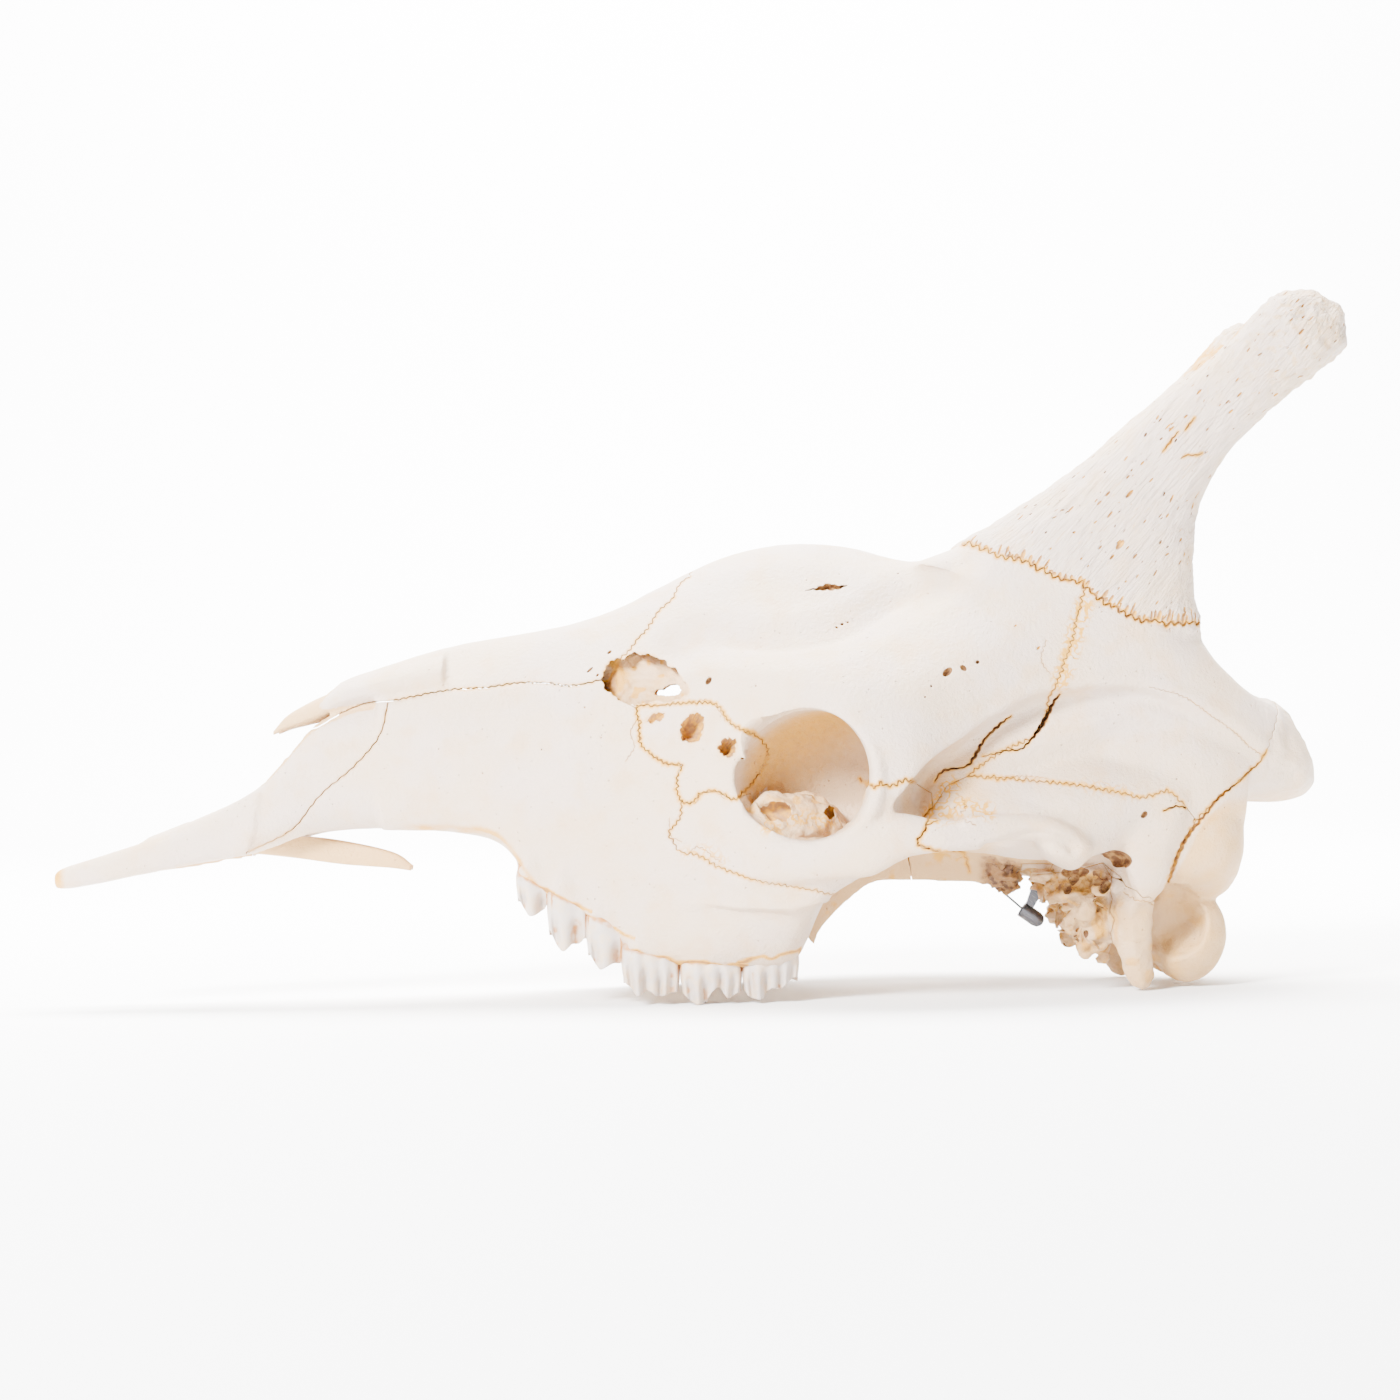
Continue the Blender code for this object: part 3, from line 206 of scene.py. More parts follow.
# The eye socket: a ring that stands round it, and a cup given by ovals (w, x, z, half x, half z).
EYE_RIM = dict(x=403.5, z=118.6, half_x=37.4, half_z=38.6, w=98.5, slant=13.0, tube=5.8)
EYE_CUP = [(150, 404.8, 119.6, 33, 34.8), (99, 404.8, 119.6, 31.9, 33.6), (88, 406, 118.8, 37, 34.5),
           (74, 413, 118, 45, 34), (60, 419, 117, 44, 30), (49, 424, 115, 34, 23), (42, 428, 113, 17, 12)]
TEMPLE_EDGE = [
    (448, 104), (455, 111), (466.4, 123.3), (476.2, 130.6), (486.9, 137), (497.8, 144.4), (510.3, 152.3),
    (522.9, 157.5), (551.5, 161.8), (572.9, 162.6), (588.8, 160), (606.2, 152.2), (620.4, 143.9),
    (634.2, 137.3), (644.9, 128.7), (650, 120)]
TEMPLE_WALL = [(448, 88), (455, 79), (461, 70), (467, 69), (480, 73), (500, 72), (520, 68), (545, 66),
               (570, 66), (600, 64), (630, 59), (650, 55)]
TEMPLE_LOW = 52.0
CONDYLE = dict(x=607.6, w=25, z=28.6, half_x=21.6, half_w=16.5, half_z=26.4, hollow_x=597, hollow_w=46,
               hollow_z=36, hollow=21.5)
# Spots where forms meet and the join is drawn smooth: (x, w, z, reach).
EASED = [
    (476, 48, 230, 34), (466, 42, 228, 26), (490, 50, 236, 22), (484, 58, 218, 24), (500, 66, 211, 22),
    (470, 54, 221, 22), (560, 78, 96, 26), (574, 66, 100, 24), (500, 66, 104, 24), (520, 72, 112, 26),
    (544, 68, 116, 26), (488, 60, 100, 18), (604, 62, 84, 16), (596, 58, 106, 20), (613, 48, 60, 15),
    (366, 84, 118, 17), (372, 84, 92, 16), (470, 66, 97, 12), (650, 40, 110, 18), (252, 45, 78, 9),
    (300, 60, 45, 9), (306, 62, 36, 9)]
# The block that trims the eye socket's upper lip, an oval with a corner at one angle.
EYE_EDGE = dict(x=404.8, z=119.6, half_x=32.5, half_z=34.3, corner=9.0, corner_at=2.5, corner_reach=0.30)
# The hollow just under the skin of the face, (x, w, z) and half sizes. Then, seen from the side,
# what shows through to the other side, the hole in the plate behind the window, the window
# itself, and the tear holes with their depths.
FACE_POCKET = ((322, 30, 170), (27, 21, 17))
SEE_THROUGH = [(324, 161), (329, 170), (338, 170), (345, 165), (338, 159.5)]
LAMELLA_HOLE = [(326.5, 163), (331, 165.6), (337.5, 168.4), (341.5, 164.6), (338, 162), (331, 161.8)]
FACE_WINDOW = [(299.5, 170), (304, 178), (311, 183), (321, 184.5), (331, 181), (338, 175), (344.5, 166),
               (343, 161.5), (331, 159.5), (318, 158.5), (307, 161)]
TEAR_HOLES = [[(340.4, 145), (344, 150.5), (349, 152.5), (352, 148), (351, 141), (346, 137), (341, 139)],
              [(322, 149.2), (326, 152.4), (332, 152.8), (330, 149.6), (325, 147.4)],
              [(359.6, 133), (361, 137.4), (365, 139.4), (369, 137.6), (368.4, 132.4), (364.6, 129)]]
TEAR_DEPTHS = (12, 3.2, 12)
PALATE_SLOT = dict(first=58, last=150, w=8.0, half_w=7.5, z=88, half_z=30)
# Recesses under the left jaw joint: middle and half sizes. Their brown walls are partly the bone's own
# brown and partly painted shade.
RECESSES = [((546, -56, 64), (11, 13, 4.6)), ((563, -64, 70), (11.5, 18, 6)),
            ((558.5, -61, 63), (9, 14, 8))]

# The steel cap that hangs on a wire under the broken skull base.
CAP = dict(mouth=(520.6, 43.2), heading=math.radians(-36), w=20, wire_top=(511.0, 52.2), wire=0.6,
           wire_reach=2.6, profile=[(3.0, 0.4), (3.0, 2.9), (0.2, 3.4), (0, 4.2), (9.5, 4.2), (12, 3.5),
                                    (13.4, 1.8), (13.7, 0.4)],
           tab=[(522.6, 45.2), (526.0, 42.5), (529.6, 48.3), (528.9, 52.8), (525.8, 53.6)], tab_width=3.4)

# Sutures seen from the side.
HORN_SUTURE = [
    (470, 262), (484, 243), (497.5, 236.5), (506, 231.5), (514, 229.4), (526, 225.5), (539.8, 217.3),
    (549, 216), (557.9, 208.5), (571, 199.9), (581, 195.5), (591.4, 194.2), (601, 192.8), (611, 193.7),
    (626, 190)]
SNOUT_SUTURE = [(106.5, 83.5), (131, 95.2), (147.3, 113.4), (166.3, 128.9), (180, 144.6), (184.8, 162.4)]
SNOUT_RIDGE = [(184.8, 162.4), (175, 162.2), (167.4, 160.3), (160, 157.3), (153.4, 153.7), (147, 150),
               (136, 147)]
NOSE_SUTURE = [(184.8, 162.4), (218, 167.7), (237, 168.4), (255.4, 170.5), (270, 170), (281.9, 168.3),
               (299, 171)]
NOSE_ROOT = [(299, 171), (304, 180), (311.9, 183.9), (317, 190), (325.3, 199.5), (330, 207),
             (337.1, 212.9), (342, 222), (347, 226), (349, 250)]
TEAR_OUTLINE = [
    (331, 157), (341, 157.9), (352.9, 158.1), (360.6, 155.3), (364.6, 149), (371.3, 144.2), (379, 140.4),
    (386, 131), (378, 116), (366, 107.5), (358.5, 111.9), (350.2, 111), (344.4, 105.5), (339.7, 107.1),
    (337.8, 118.8), (340.6, 125.5), (333.3, 126.2), (325.6, 130.6), (319, 138), (318.7, 148.5),
    (317.3, 156)]
CHEEK_SUTURE = [(339.7, 107.1), (338.9, 97.9), (333.5, 90.7), (338, 81.2), (348.4, 78.3), (357.7, 72.9),
                (367, 69), (384, 64), (404, 60.5), (421, 56)]
EYE_BAR_SUTURE = [(434.3, 116), (438.8, 112.3), (441.4, 115.3), (446.5, 113.2), (454.2, 116), (461, 114)]
ARCH_SUTURE = [(470, 101), (465.8, 96.2), (463.6, 90.2), (459.4, 84.1), (469, 79.8), (489.3, 74.2),
               (493, 64)]
CROWN_SUTURE = [(552, 250), (551.7, 211.8), (548.8, 201.5), (544.3, 185.9), (538.5, 170.4), (533, 155),
                (530.3, 143.5), (524.3, 136.8), (511.8, 131), (499, 124), (489, 116.6)]
TEMPLE_SUTURE = [(489, 116.6), (522.3, 113.3), (548.4, 110.1), (569.2, 105.4), (579.6, 103.1),
                 (592.8, 106.4), (602, 99)]
NECK_SUTURE = [(664, 172), (661, 158), (653, 136), (645.9, 121.3), (633.1, 110.6), (619.7, 100.4),
               (609, 90.2), (600.8, 77.2), (595.3, 64.2), (589.6, 46)]
ARCH_RIDGE = [(488, 95), (505, 96.5), (516, 96), (525, 93), (534, 88), (541, 83), (547, 78)]
ARCH_FOLD = [(496, 80), (503, 82), (511, 84.5), (522, 87), (530, 86), (537, 82.5), (541, 78)]
CHEEK_RIDGE = [(343, 54), (369, 51), (395, 50), (416, 55), (434, 65), (452, 72)]
# The valley between the swelling of the forehead and the brow, and the line over the temple.
VALLEY = [(340, 186), (351.5, 190.6), (372, 190), (388, 188.4), (403, 189.1), (419, 191.5), (435, 197),
          (451, 206.6), (468, 215), (478, 222.5), (489, 230)]
TEMPLE_RIDGE = [(505, 151), (522, 160.5), (551, 165), (573, 165.5), (591, 162), (612, 152), (634, 139.5),
                (646, 130)]
# Cracks, slots and grooves seen from the side: their line, widths along it, depth and finish.
CUTS = [
    ([(471.9, 113.9), (475.8, 119), (488.7, 121.8), (495.7, 131.4), (501.1, 138.1), (513.1, 147.4)],
     (0.7, 1.5, 1.0, 2.2, 1.3, 1.8, 0.5), 6, BROWN_FACE),
    ([(497, 126.5), (508.4, 128.9), (517.3, 129.8), (524.9, 136.9), (531.1, 145.8), (534.8, 152.4),
      (538.5, 158)], (0.3, 0.7, 1.0, 1.3, 3.2, 2.2, 1.2), 7, BROWN_FACE),
    ([(407.5, 215.6), (412, 216), (416, 216.6), (420, 217.2), (425, 217), (430, 217.8)],
     (0.4, 1.0, 3.4, 4.6, 2.6, 0.4), 5, BROWN_FACE),
    ([(594.4, 282.6), (597, 286), (600, 290), (602.6, 292.8)], (0.4, 1.7, 1.2, 0.4), 1.6, AMBER_FACE),
    ([(606, 293.4), (608, 296), (611, 300)], (0.8, 1.6, 0.4), 1.6, AMBER_FACE),
    ([(603.6, 278.8), (607, 280.4), (611, 280.2), (615, 281.4)], (0.5, 1.6, 1.0, 0.4), 1.3, AMBER_FACE),
    ([(648, 123.5), (644.4, 118.9), (637, 113.5), (631.1, 108.7), (622.6, 103), (613.3, 92.4),
      (603.7, 81.6), (597.6, 68.7), (594.6, 56)], (0.4, 1.4, 0.9, 2.6, 1.6, 2.8, 3.4, 2.6, 1.6), 2.6,
     AMBER_FACE),
    ([(470.5, 95), (464, 92.1), (462.6, 88.8), (459.6, 84.6), (466, 80.6), (478.7, 77), (490, 75)],
     (0.6, 1.2, 0.9, 1.4, 1.8, 1.2, 0.5), 1.6, AMBER_FACE),
    ([(603, 97), (597.5, 98.2), (592.7, 96.6), (590, 95.8)], (1.4, 1.0, 1.7, 0.8), 2.5, BROWN_FACE),
]
# Fine sutures that part nothing: their line and how far they swing.
FINE_LINES = [
    ([(345.7, 158.7), (356.3, 158.4), (362.5, 150.9), (368.5, 144.5), (376, 141.4)], 0.5),
    ([(340.2, 106.7), (346.6, 105.7), (351, 110.8), (356.3, 111.9), (362.4, 107.8)], 0.6),
    ([(333.6, 98.4), (333.4, 89.9), (339.7, 85.6)], 0.5),
    ([(343, 80), (346.5, 82.6), (352, 81.4), (356, 77.3), (360, 74.9)], 0.9),
    ([(318, 150), (314, 143), (316, 136), (311, 128)], 0.4),
    ([(483, 108), (487, 102), (484, 96), (490, 92)], 1.2),
    ([(499, 115), (517, 115.6), (530, 114.4)], 0.6),
    ([(533, 168), (528, 176), (531, 186)], 0.6),
    ([(585, 160.5), (603.4, 155), (616.8, 145.6), (630.7, 135.8), (639.4, 127.8), (645.2, 123.9)], 0.5),
    ([(571, 53), (577, 49), (584, 47.5), (590, 43)], 0.9),
]
# Openings broken in the thin bulb on the floor of the eye socket, and how deep they reach.
BULB_HOLES = [([(381, 100.5), (384.5, 104), (391, 105.5), (396, 103), (397.5, 99), (393, 96),
                (387, 96)], 70),
              ([(414, 99), (416, 102.5), (419.5, 102), (420, 97.5), (417, 96)], 58)]
# Zones of closely looped suture lines: their middle line and how dark they are.
LACE = [([(551.5, 204), (549, 197), (546, 188), (543.6, 180), (540.6, 171), (538, 164)], 1.0),
        ([(470, 97), (476, 104), (480, 112)], 1.0), ([(476, 98), (486, 101), (497, 99)], 0.9),
        ([(342, 80), (352, 81.5), (360, 76)], 0.45),
        ([(549, 110), (562, 108), (574, 105)], 0.5), ([(384, 93), (400, 97), (416, 93)], 0.7)]
# Round holes and pits: (x, z, half length along the horn, half width).
HOLES = [
    (478.4, 170.6, 3.4, 1.9), (486.8, 172.5, 1.5, 2.1), (494.4, 175.4, 1.2, 1.0), (469.5, 163.5, 0.8, 0.6),
    (466, 158, 0.6, 0.5), (580, 94.2, 2.2, 1.7), (607.8, 90.7, 0.8, 0.5), (549.5, 271.7, 1.4, 0.6),
    (312, 176, 1.9, 1.3), (303.5, 185.6, 1.4, 1.0), (293, 176.5, 2.2, 0.8), (297, 173.6, 1.0, 0.7),
    (355.5, 169, 2.3, 1.6), (372, 128.4, 1.1, 0.9), (426, 197, 1.0, 0.8), (423, 195.4, 0.7, 0.9),
    (429, 198, 0.8, 0.6)]
HORN_MARKS = [
    (546.4, 254.1, 2.4, 0.8), (565.6, 261.5, 1.8, 0.8), (559.4, 258.2, 1.2, 0.6), (576.2, 270, 1.3, 0.8),
    (576.6, 261.1, 2.8, 1.4), (583.8, 277, 1.4, 0.7), (526.7, 182, 1.3, 0.9), (515.3, 193.9, 0.9, 0.7),
    (588, 268, 1.6, 0.7), (613.5, 312.9, 2.0, 0.9), (629.2, 302.1, 1.6, 0.8), (632.2, 318.1, 1.4, 0.7),
    (633.4, 310.5, 1.7, 0.9), (638.3, 333.4, 1.5, 0.8), (664.1, 340.9, 1.7, 1.0), (659.5, 347.6, 1.3, 0.7),
    (665.9, 348.9, 1.3, 0.7), (570.9, 234.7, 3.2, 2.0), (566.6, 228.5, 1.7, 1.1), (578.6, 228.6, 1.7, 1.0),
    (560.6, 233.6, 1.3, 0.8), (584.1, 246.6, 1.3, 0.7), (535.2, 233.7, 0.8, 0.6), (554.1, 224.1, 0.8, 0.6),
    (573.5, 215.6, 0.8, 0.6), (547.7, 241.7, 0.9, 0.6), (550.8, 228, 0.8, 0.6)]

# Cheek teeth from front to back: widest x, gum line z at both ends, outer and inner w, and the
# lower edge of the outer side as (x, z).
TEETH = [
    ((251.4, 270.6), (69.5, 59.5), (53, 37),
     [(252.3, 57), (255.4, 50.8), (259, 47.4), (264.7, 49.7), (267.3, 51.9), (269.4, 57.4)]),
    ((267.6, 289.6), (60.0, 50.0), (58, 40),
     [(268.9, 39.7), (271.5, 33.1), (275.9, 28.9), (278.3, 30.3), (279.8, 32), (284.5, 32.5),
      (287.6, 35.3)]),
    ((288.0, 312.0), (47.5, 36.0), (63, 43),
     [(289.2, 27.6), (292.3, 22), (294.9, 19.2), (298.1, 20.4), (301.7, 22), (307.4, 23.1), (309, 26.5)]),
    ((306.2, 336.9), (30.5, 22.5), (68, 46),
     [(306.8, 12.7), (310.6, 9.5), (314.5, 5.2), (316.8, 5.8), (320.5, 8.4), (322.5, 6.3), (326.7, 4.7),
      (331.4, 6.3), (335.2, 6.8)]),
    ((337.0, 369.4), (22.5, 20.5), (71, 47.5),
     [(337.3, 6.3), (341.8, 2), (345.5, 0.3), (347.5, 0.4), (351.2, 2.6), (353.8, 7.4), (357.4, 9),
      (360.6, 5.2), (362.6, 3.3), (365.8, 4.7), (368.5, 6.3)]),
    ((369.5, 399.6), (22.5, 27.0), (71, 48.5),
     [(369.8, 6.4), (372.5, 3.6), (376.2, 2.4), (380.4, 3.1), (383, 7.4), (386.1, 7.9), (389.2, 7.4),
      (392.9, 10), (397, 13.2)]),
]
ROOT = 6.0                  # how far a tooth's root is modelled above the gum
# Hollows between the ribs of a tooth's outer face: (place along it from 0 to 1, half width, depth).
PREMOLAR_HOLLOWS = [(0.19, 0.10, 2.6), (0.71, 0.14, 3.6)]
MOLAR_HOLLOWS = [(0.15, 0.07, 2.6), (0.40, 0.075, 3.6), (0.65, 0.06, 3.0), (0.87, 0.07, 2.4)]

# How each suture is drawn: its line, height and pitch of its swings, and how dark its amber is.
SUTURES = {
    "horn": (HORN_SUTURE, 1.7, 4.4, 1.0),
    "snout": (SNOUT_SUTURE, 0.3, 6.0, 0.6),
    "ridge": (SNOUT_RIDGE, 0.15, 6.0, 0.5),
    "nose": (NOSE_SUTURE, 0.45, 4.0, 0.7),
    "root": (NOSE_ROOT, 0.8, 3.6, 0.75),
    "tear": (TEAR_OUTLINE, 0.95, 2.8, 1.0),
    "cheek": (CHEEK_SUTURE, 1.0, 3.2, 0.75),
    "eye_bar": (EYE_BAR_SUTURE, 1.2, 3.4, 1.0),
    "arch": (ARCH_SUTURE, 0.7, 4.0, 1.0),
    "crown": (CROWN_SUTURE, 1.1, 3.4, 0.85),
    "temple": (TEMPLE_SUTURE, 1.1, 3.4, 0.9),
    "neck": (NECK_SUTURE, 0.8, 4.6, 0.9),
}
STAIN_TOP = {"neck": 126, "crown": 214}     # height above which a suture isn't stained
SLOTS = {"horn_core": "horn_bone", "palatine": "stained_bone", "sphenoid": "stained_bone",
         "ear_bulb": "stained_bone"}

# Further colours: the darkest stain, spots of the horn tips, spongy bone and its pits, specks of
# the suture walls, light patches of the pits, the gum line, scratches of the steel and paper. The
# darkest stain and spongy bone also paint shade in the broken bone's crevices and the eye socket,
# and the gum line's colour paints shade in the hollows of the teeth.
STAIN_HEART, TIP_SPOT = (0.24, 0.10, 0.025), (0.50, 0.335, 0.17)
SPONGE, SPONGE_PIT = (0.20, 0.09, 0.022), (0.06, 0.02, 0.005)
SUTURE_SPECK, PIT_PATCH = (0.30, 0.15, 0.05), (0.33, 0.17, 0.05)
TOOTH_STAIN_AND_SHADE, SCRATCH, PAPER = (0.36, 0.15, 0.035), (0.2, 0.2, 0.21), (0.93, 0.93, 0.93)

# The stage in metres: bend and height of the backdrop, the sky's strength, and each light's
# name, place, aim, size and share of the key light's power.
BACKDROP_BEND, BACKDROP_WALL, SKY = 0.8, 2.2, 0.22
LIGHTS = (("key", (-1.3, -1.9, 1.5), (0, 0, 0.15), 0.7, 1.0),
          ("fill", (1.9, -1.9, 0.6), (0, 0, 0.15), 1.4, 0.075),
          ("back", (0.0, 1.0, 2.4), (0, 2.6, 0.5), 2.5, 2.4))
# What the camera looks at as (x, z) in skull millimetres, and its turn about the line of sight.
CAMERA_AT, CAMERA_ROLL = (350.8, 159.2), math.radians(1.35)


class SkullSizes(bpy.types.PropertyGroup):
    """Sizes of the bone surface, in millimetres."""

    voxel: FloatProperty(name="Grid", description="Cell of the grid on which the form is blended, in mm",
                         default=1.25, min=0.6, max=4.0)
    blend: IntProperty(name="Blend", description="Rounds of smoothing after the blend", default=16, min=0)
    gap: FloatProperty(name="Suture Gap", description="Air left at a suture, in mm", default=0.32, min=0.1)
    relief: FloatProperty(name="Relief", description="Height of the bone's small unevenness, in mm",
                          default=0.28, min=0.0)
    pits: IntProperty(name="Horn Pits", description="Pits in one horn core", default=260, min=0)


def tint(name, description, *default):
    return FloatVectorProperty(name=name, description=description, subtype="COLOR", size=3,
                               default=default, min=0, max=1)


class SkullColours(bpy.types.PropertyGroup):
    """Colours of bone, stain, enamel and steel."""

    bone: tint("Bone", "Clean bone", 0.52, 0.395, 0.285)
    pink: tint("Cool Bone", "Paler, cooler patches", 0.51, 0.405, 0.335)
    # Cream in the eye socket and the nose cavity is partly painted shade.
    cream: tint("Cream", "Bone inside hollows", 0.50, 0.295, 0.105)
    # Amber also paints shade on the eye socket's upper front side and in the broken bone's crevices.
    amber: tint("Amber", "Stain along the sutures", 0.52, 0.255, 0.022)
    brown: tint("Brown", "Depth of holes and cracks", 0.11, 0.042, 0.010)
    enamel: tint("Enamel", "Cheek teeth", 0.45, 0.385, 0.345)
    steel: tint("Steel", "The hanger's cap", 0.09, 0.09, 0.10)


class StudioSizes(bpy.types.PropertyGroup):
    """Floor, lights and camera."""

    distance: FloatProperty(name="Camera Distance", description="From the skull's middle plane",
                            default=1.8, min=0.5, unit="LENGTH")
    lens: FloatProperty(name="Lens", description="Focal length in mm on a 36 mm sensor", default=85.37)
    floor: FloatProperty(name="Floor", description="Half width of the floor", default=3.0, unit="LENGTH")
    key: FloatProperty(name="Key Light", description="Power of the large front light in W", default=450.0)


def sizes():
    return bpy.context.scene.skull_sizes


def colours():
    return bpy.context.scene.skull_colours


# Curves and noise.

def through(knots, at):
    """Smooth curve through knots: the first column is the place, the others are values there.

    It is a cubic between knots, whose slope is the mean of the two sides and is flat where
    a value turns back, so that it never swings past its knots.
    """
    knots = np.asarray(knots, float)
    place, values = knots[:, 0], knots[:, 1:]
    secant = np.diff(values, axis=0) / np.diff(place)[:, None]
    slope = np.vstack([secant[:1], (secant[1:] + secant[:-1]) / 2, secant[-1:]])
    slope[1:-1][secant[1:] * secant[:-1] <= 0] = 0
    at = np.clip(at, place[0], place[-1])
    index = np.clip(np.searchsorted(place, at, side="right") - 1, 0, len(place) - 2)
    span = (place[index + 1] - place[index])[:, None]
    t = ((at - place[index])[:, None]) / span
    low, high = values[index], values[index + 1]
    return (low * (1 + 2 * t) * (1 - t) ** 2 + high * t * t * (3 - 2 * t)
            + slope[index] * span * t * (1 - t) ** 2 + slope[index + 1] * span * t * t * (t - 1))


def rounded(points, per_span=8):
    """Closed Catmull-Rom curve through points, each span in per_span steps."""
    before, after, later = (np.roll(points, n, axis=0) for n in (1, -1, -2))
    t = (np.arange(per_span) / per_span)[None, :, None]
    p0, p1, p2, p3 = (p[:, None, :] for p in (before, points, after, later))
    curve = 0.5 * (2 * p1 + (p2 - p0) * t + (2 * p0 - 5 * p1 + 4 * p2 - p3) * t ** 2
                   + (3 * p1 - p0 - 3 * p2 + p3) * t ** 3)
    return curve.reshape(-1, points.shape[1])


def circle(count, power=2.0):
    """Points round a closed oval of half size 1: a circle at power 2, squarer above it."""
    turn = np.linspace(0, 2 * math.pi, count, endpoint=False)
    c, s = np.cos(turn), np.sin(turn)
    return np.sign(c) * np.abs(c) ** (2 / power), np.sign(s) * np.abs(s) ** (2 / power)


def mixed(cells, seed):
    """A value from 0 to 1 for each row of whole numbers, by multiplying and folding their bits."""
    bits = (cells[:, 0] * 374761393 + cells[:, 1] * 668265263 + cells[:, 2] * 974634777
            + seed * 1274126177) & 0xFFFFFFFF
    bits = ((bits ^ (bits >> 13)) * 1274126177) & 0xFFFFFFFF
    return ((bits ^ (bits >> 16)) & 0xFFFF) / 65535.0


def noise(points, size, seed=0):
    """Smooth random field from -1 to 1: random values at the corners of cells of that size,
    blended inside each cell by t*t*(3 - 2*t) along each axis."""
    place = points / size
    cell = np.floor(place).astype(np.int64)
    t = place - cell
    t = t * t * (3 - 2 * t)
    total = np.zeros(len(points))
    for corner in np.ndindex(2, 2, 2):
        share = np.prod(np.where(np.array(corner) == 1, t, 1 - t), axis=1)
        total += share * mixed(cell + np.array(corner), seed)
    return 2 * total - 1


def rise(value, low, high):
    """0 below low, 1 above high and t*t*(3 - 2*t) between them."""
    t = np.clip((value - low) / (high - low), 0, 1)
    return t * t * (3 - 2 * t)


def band(value, up, down):
    """1 between two soft edges: it rises over the pair up, where there is one, and falls over down."""
    share = 1 - rise(value, *down)
    return share if up is None else rise(value, *up) * share


def run_along(points):
    """How far along a line each of its points lies."""
    return np.concatenate([[0], np.cumsum(np.linalg.norm(np.diff(points, axis=0), axis=1))])


def left_of(heading):
    """Unit vectors a quarter turn to the left of each heading in the side view."""
    heading = heading / np.maximum(np.linalg.norm(heading, axis=1), 1e-6)[:, None]
    return np.column_stack([-heading[:, 1], heading[:, 0]])


def level(line, x):
    """Second value of a line of pairs at its first value x, straight between them."""
    return np.interp(x, *np.array(line).T)


def smooth(points):
    """Smooth curve through the points of a side-view line, about one point a millimetre."""
    points = np.asarray(points, float)
    run = run_along(points)
    return through(np.column_stack([run, points]), np.linspace(0, run[-1], int(run[-1]) + 2))


def wandered(points, height, pitch, seed, closed=False, step=0.7):
    """A suture as it grows: its smooth line, swung to one side and the other in turn, about once
    every pitch and each time by a random share of height."""
    points = np.asarray(points, float)
    if closed:
        points = np.vstack([points, points[:1]])
    run = run_along(points)
    at = np.linspace(0, run[-1], int(run[-1] / step) + 2)
    curve = through(np.column_stack([run, points]), at)
    across = left_of(np.gradient(curve, axis=0))
    turns = int(run[-1] / pitch * 2) + 3
    swings = np.random.default_rng(seed).uniform(0.25, 1.0, turns) * (-1) ** np.arange(turns)
    where = at / pitch * 2
    k = where.astype(int)
    t = where - k
    t = t * t * (3 - 2 * t)
    swing = swings[k] * (1 - t) + swings[k + 1] * t
    swing += 0.35 * noise(np.column_stack([at, at * 0, at * 0]), pitch * 0.3, seed)
    swing *= np.clip(np.minimum(at, run[-1] - at) / pitch, 0, 1)
    curve = curve + across * (swing * height)[:, None]
    return curve[:-1] if closed else curve


# Meshes.

def placed(points):
    """Skull millimetres as metres in the frame."""
    return (np.asarray(points, float) - (MIDDLE_X, 0, 0)) * MM


def corners_of(mesh):
    """A mesh's points in skull millimetres."""
    flat = np.empty(len(mesh.vertices) * 3, np.float32)
    mesh.vertices.foreach_get("co", flat)
    return flat.reshape(-1, 3).astype(float) / MM + (MIDDLE_X, 0, 0)


def normals_of(mesh):
    """The normal at each of a mesh's points."""
    flat = np.empty(len(mesh.vertices) * 3, np.float32)
    mesh.vertex_normals.foreach_get("vector", flat)
    return flat.reshape(-1, 3).astype(float)


def ends_of(mesh):
    """The numbers of the two points of each of a mesh's edges."""
    flat = np.empty(len(mesh.edges) * 2, np.int32)
    mesh.edges.foreach_get("vertices", flat)
    return flat.reshape(-1, 2)


def move(mesh, points):
    """Puts a mesh's points at new places, given in skull millimetres."""
    mesh.vertices.foreach_set("co", placed(points).astype(np.float32).ravel())
    mesh.update()


def linked(name, mesh):
    """An object of the scene with that mesh."""
    made = bpy.data.objects.new(name, mesh)
    bpy.context.scene.collection.objects.link(made)
    return made


def closed_mesh(name, points, faces, finish=BONE_FACE):
    """Object from points in skull millimetres and faces, with its faces turned outwards."""
    mesh = bpy.data.meshes.new(name)
    mesh.from_pydata(placed(points).tolist(), [], faces)
    work = bmesh.new()
    work.from_mesh(mesh)
    bmesh.ops.recalc_face_normals(work, faces=work.faces)
    work.to_mesh(mesh)
    work.free()
    for material in finishes():
        mesh.materials.append(material)
    mesh.polygons.foreach_set("material_index", np.full(len(mesh.polygons), finish, np.int32))
    return linked(name, mesh)


def wall_faces(count, around, closed=False):
    """Quads that join count rings of that many points, and with closed the last to the first."""
    rows = np.arange(count if closed else count - 1)[:, None]
    after = (rows + 1) % count
    here, beside = np.arange(around), np.roll(np.arange(around), -1)
    return np.stack([rows * around + here, rows * around + beside, after * around + beside,
                     after * around + here], axis=-1).reshape(-1, 4).tolist()


def loft(name, rings, finish=BONE_FACE):
    """Closed object from an array of rings, each joined to the next, with its ends capped."""
    rings = np.asarray(rings, float)
    count, around = rings.shape[:2]
    faces = wall_faces(count, around)
    faces += [list(range(around)), list(range((count - 1) * around, count * around))]
    return closed_mesh(name, rings.reshape(-1, 3), faces, finish)


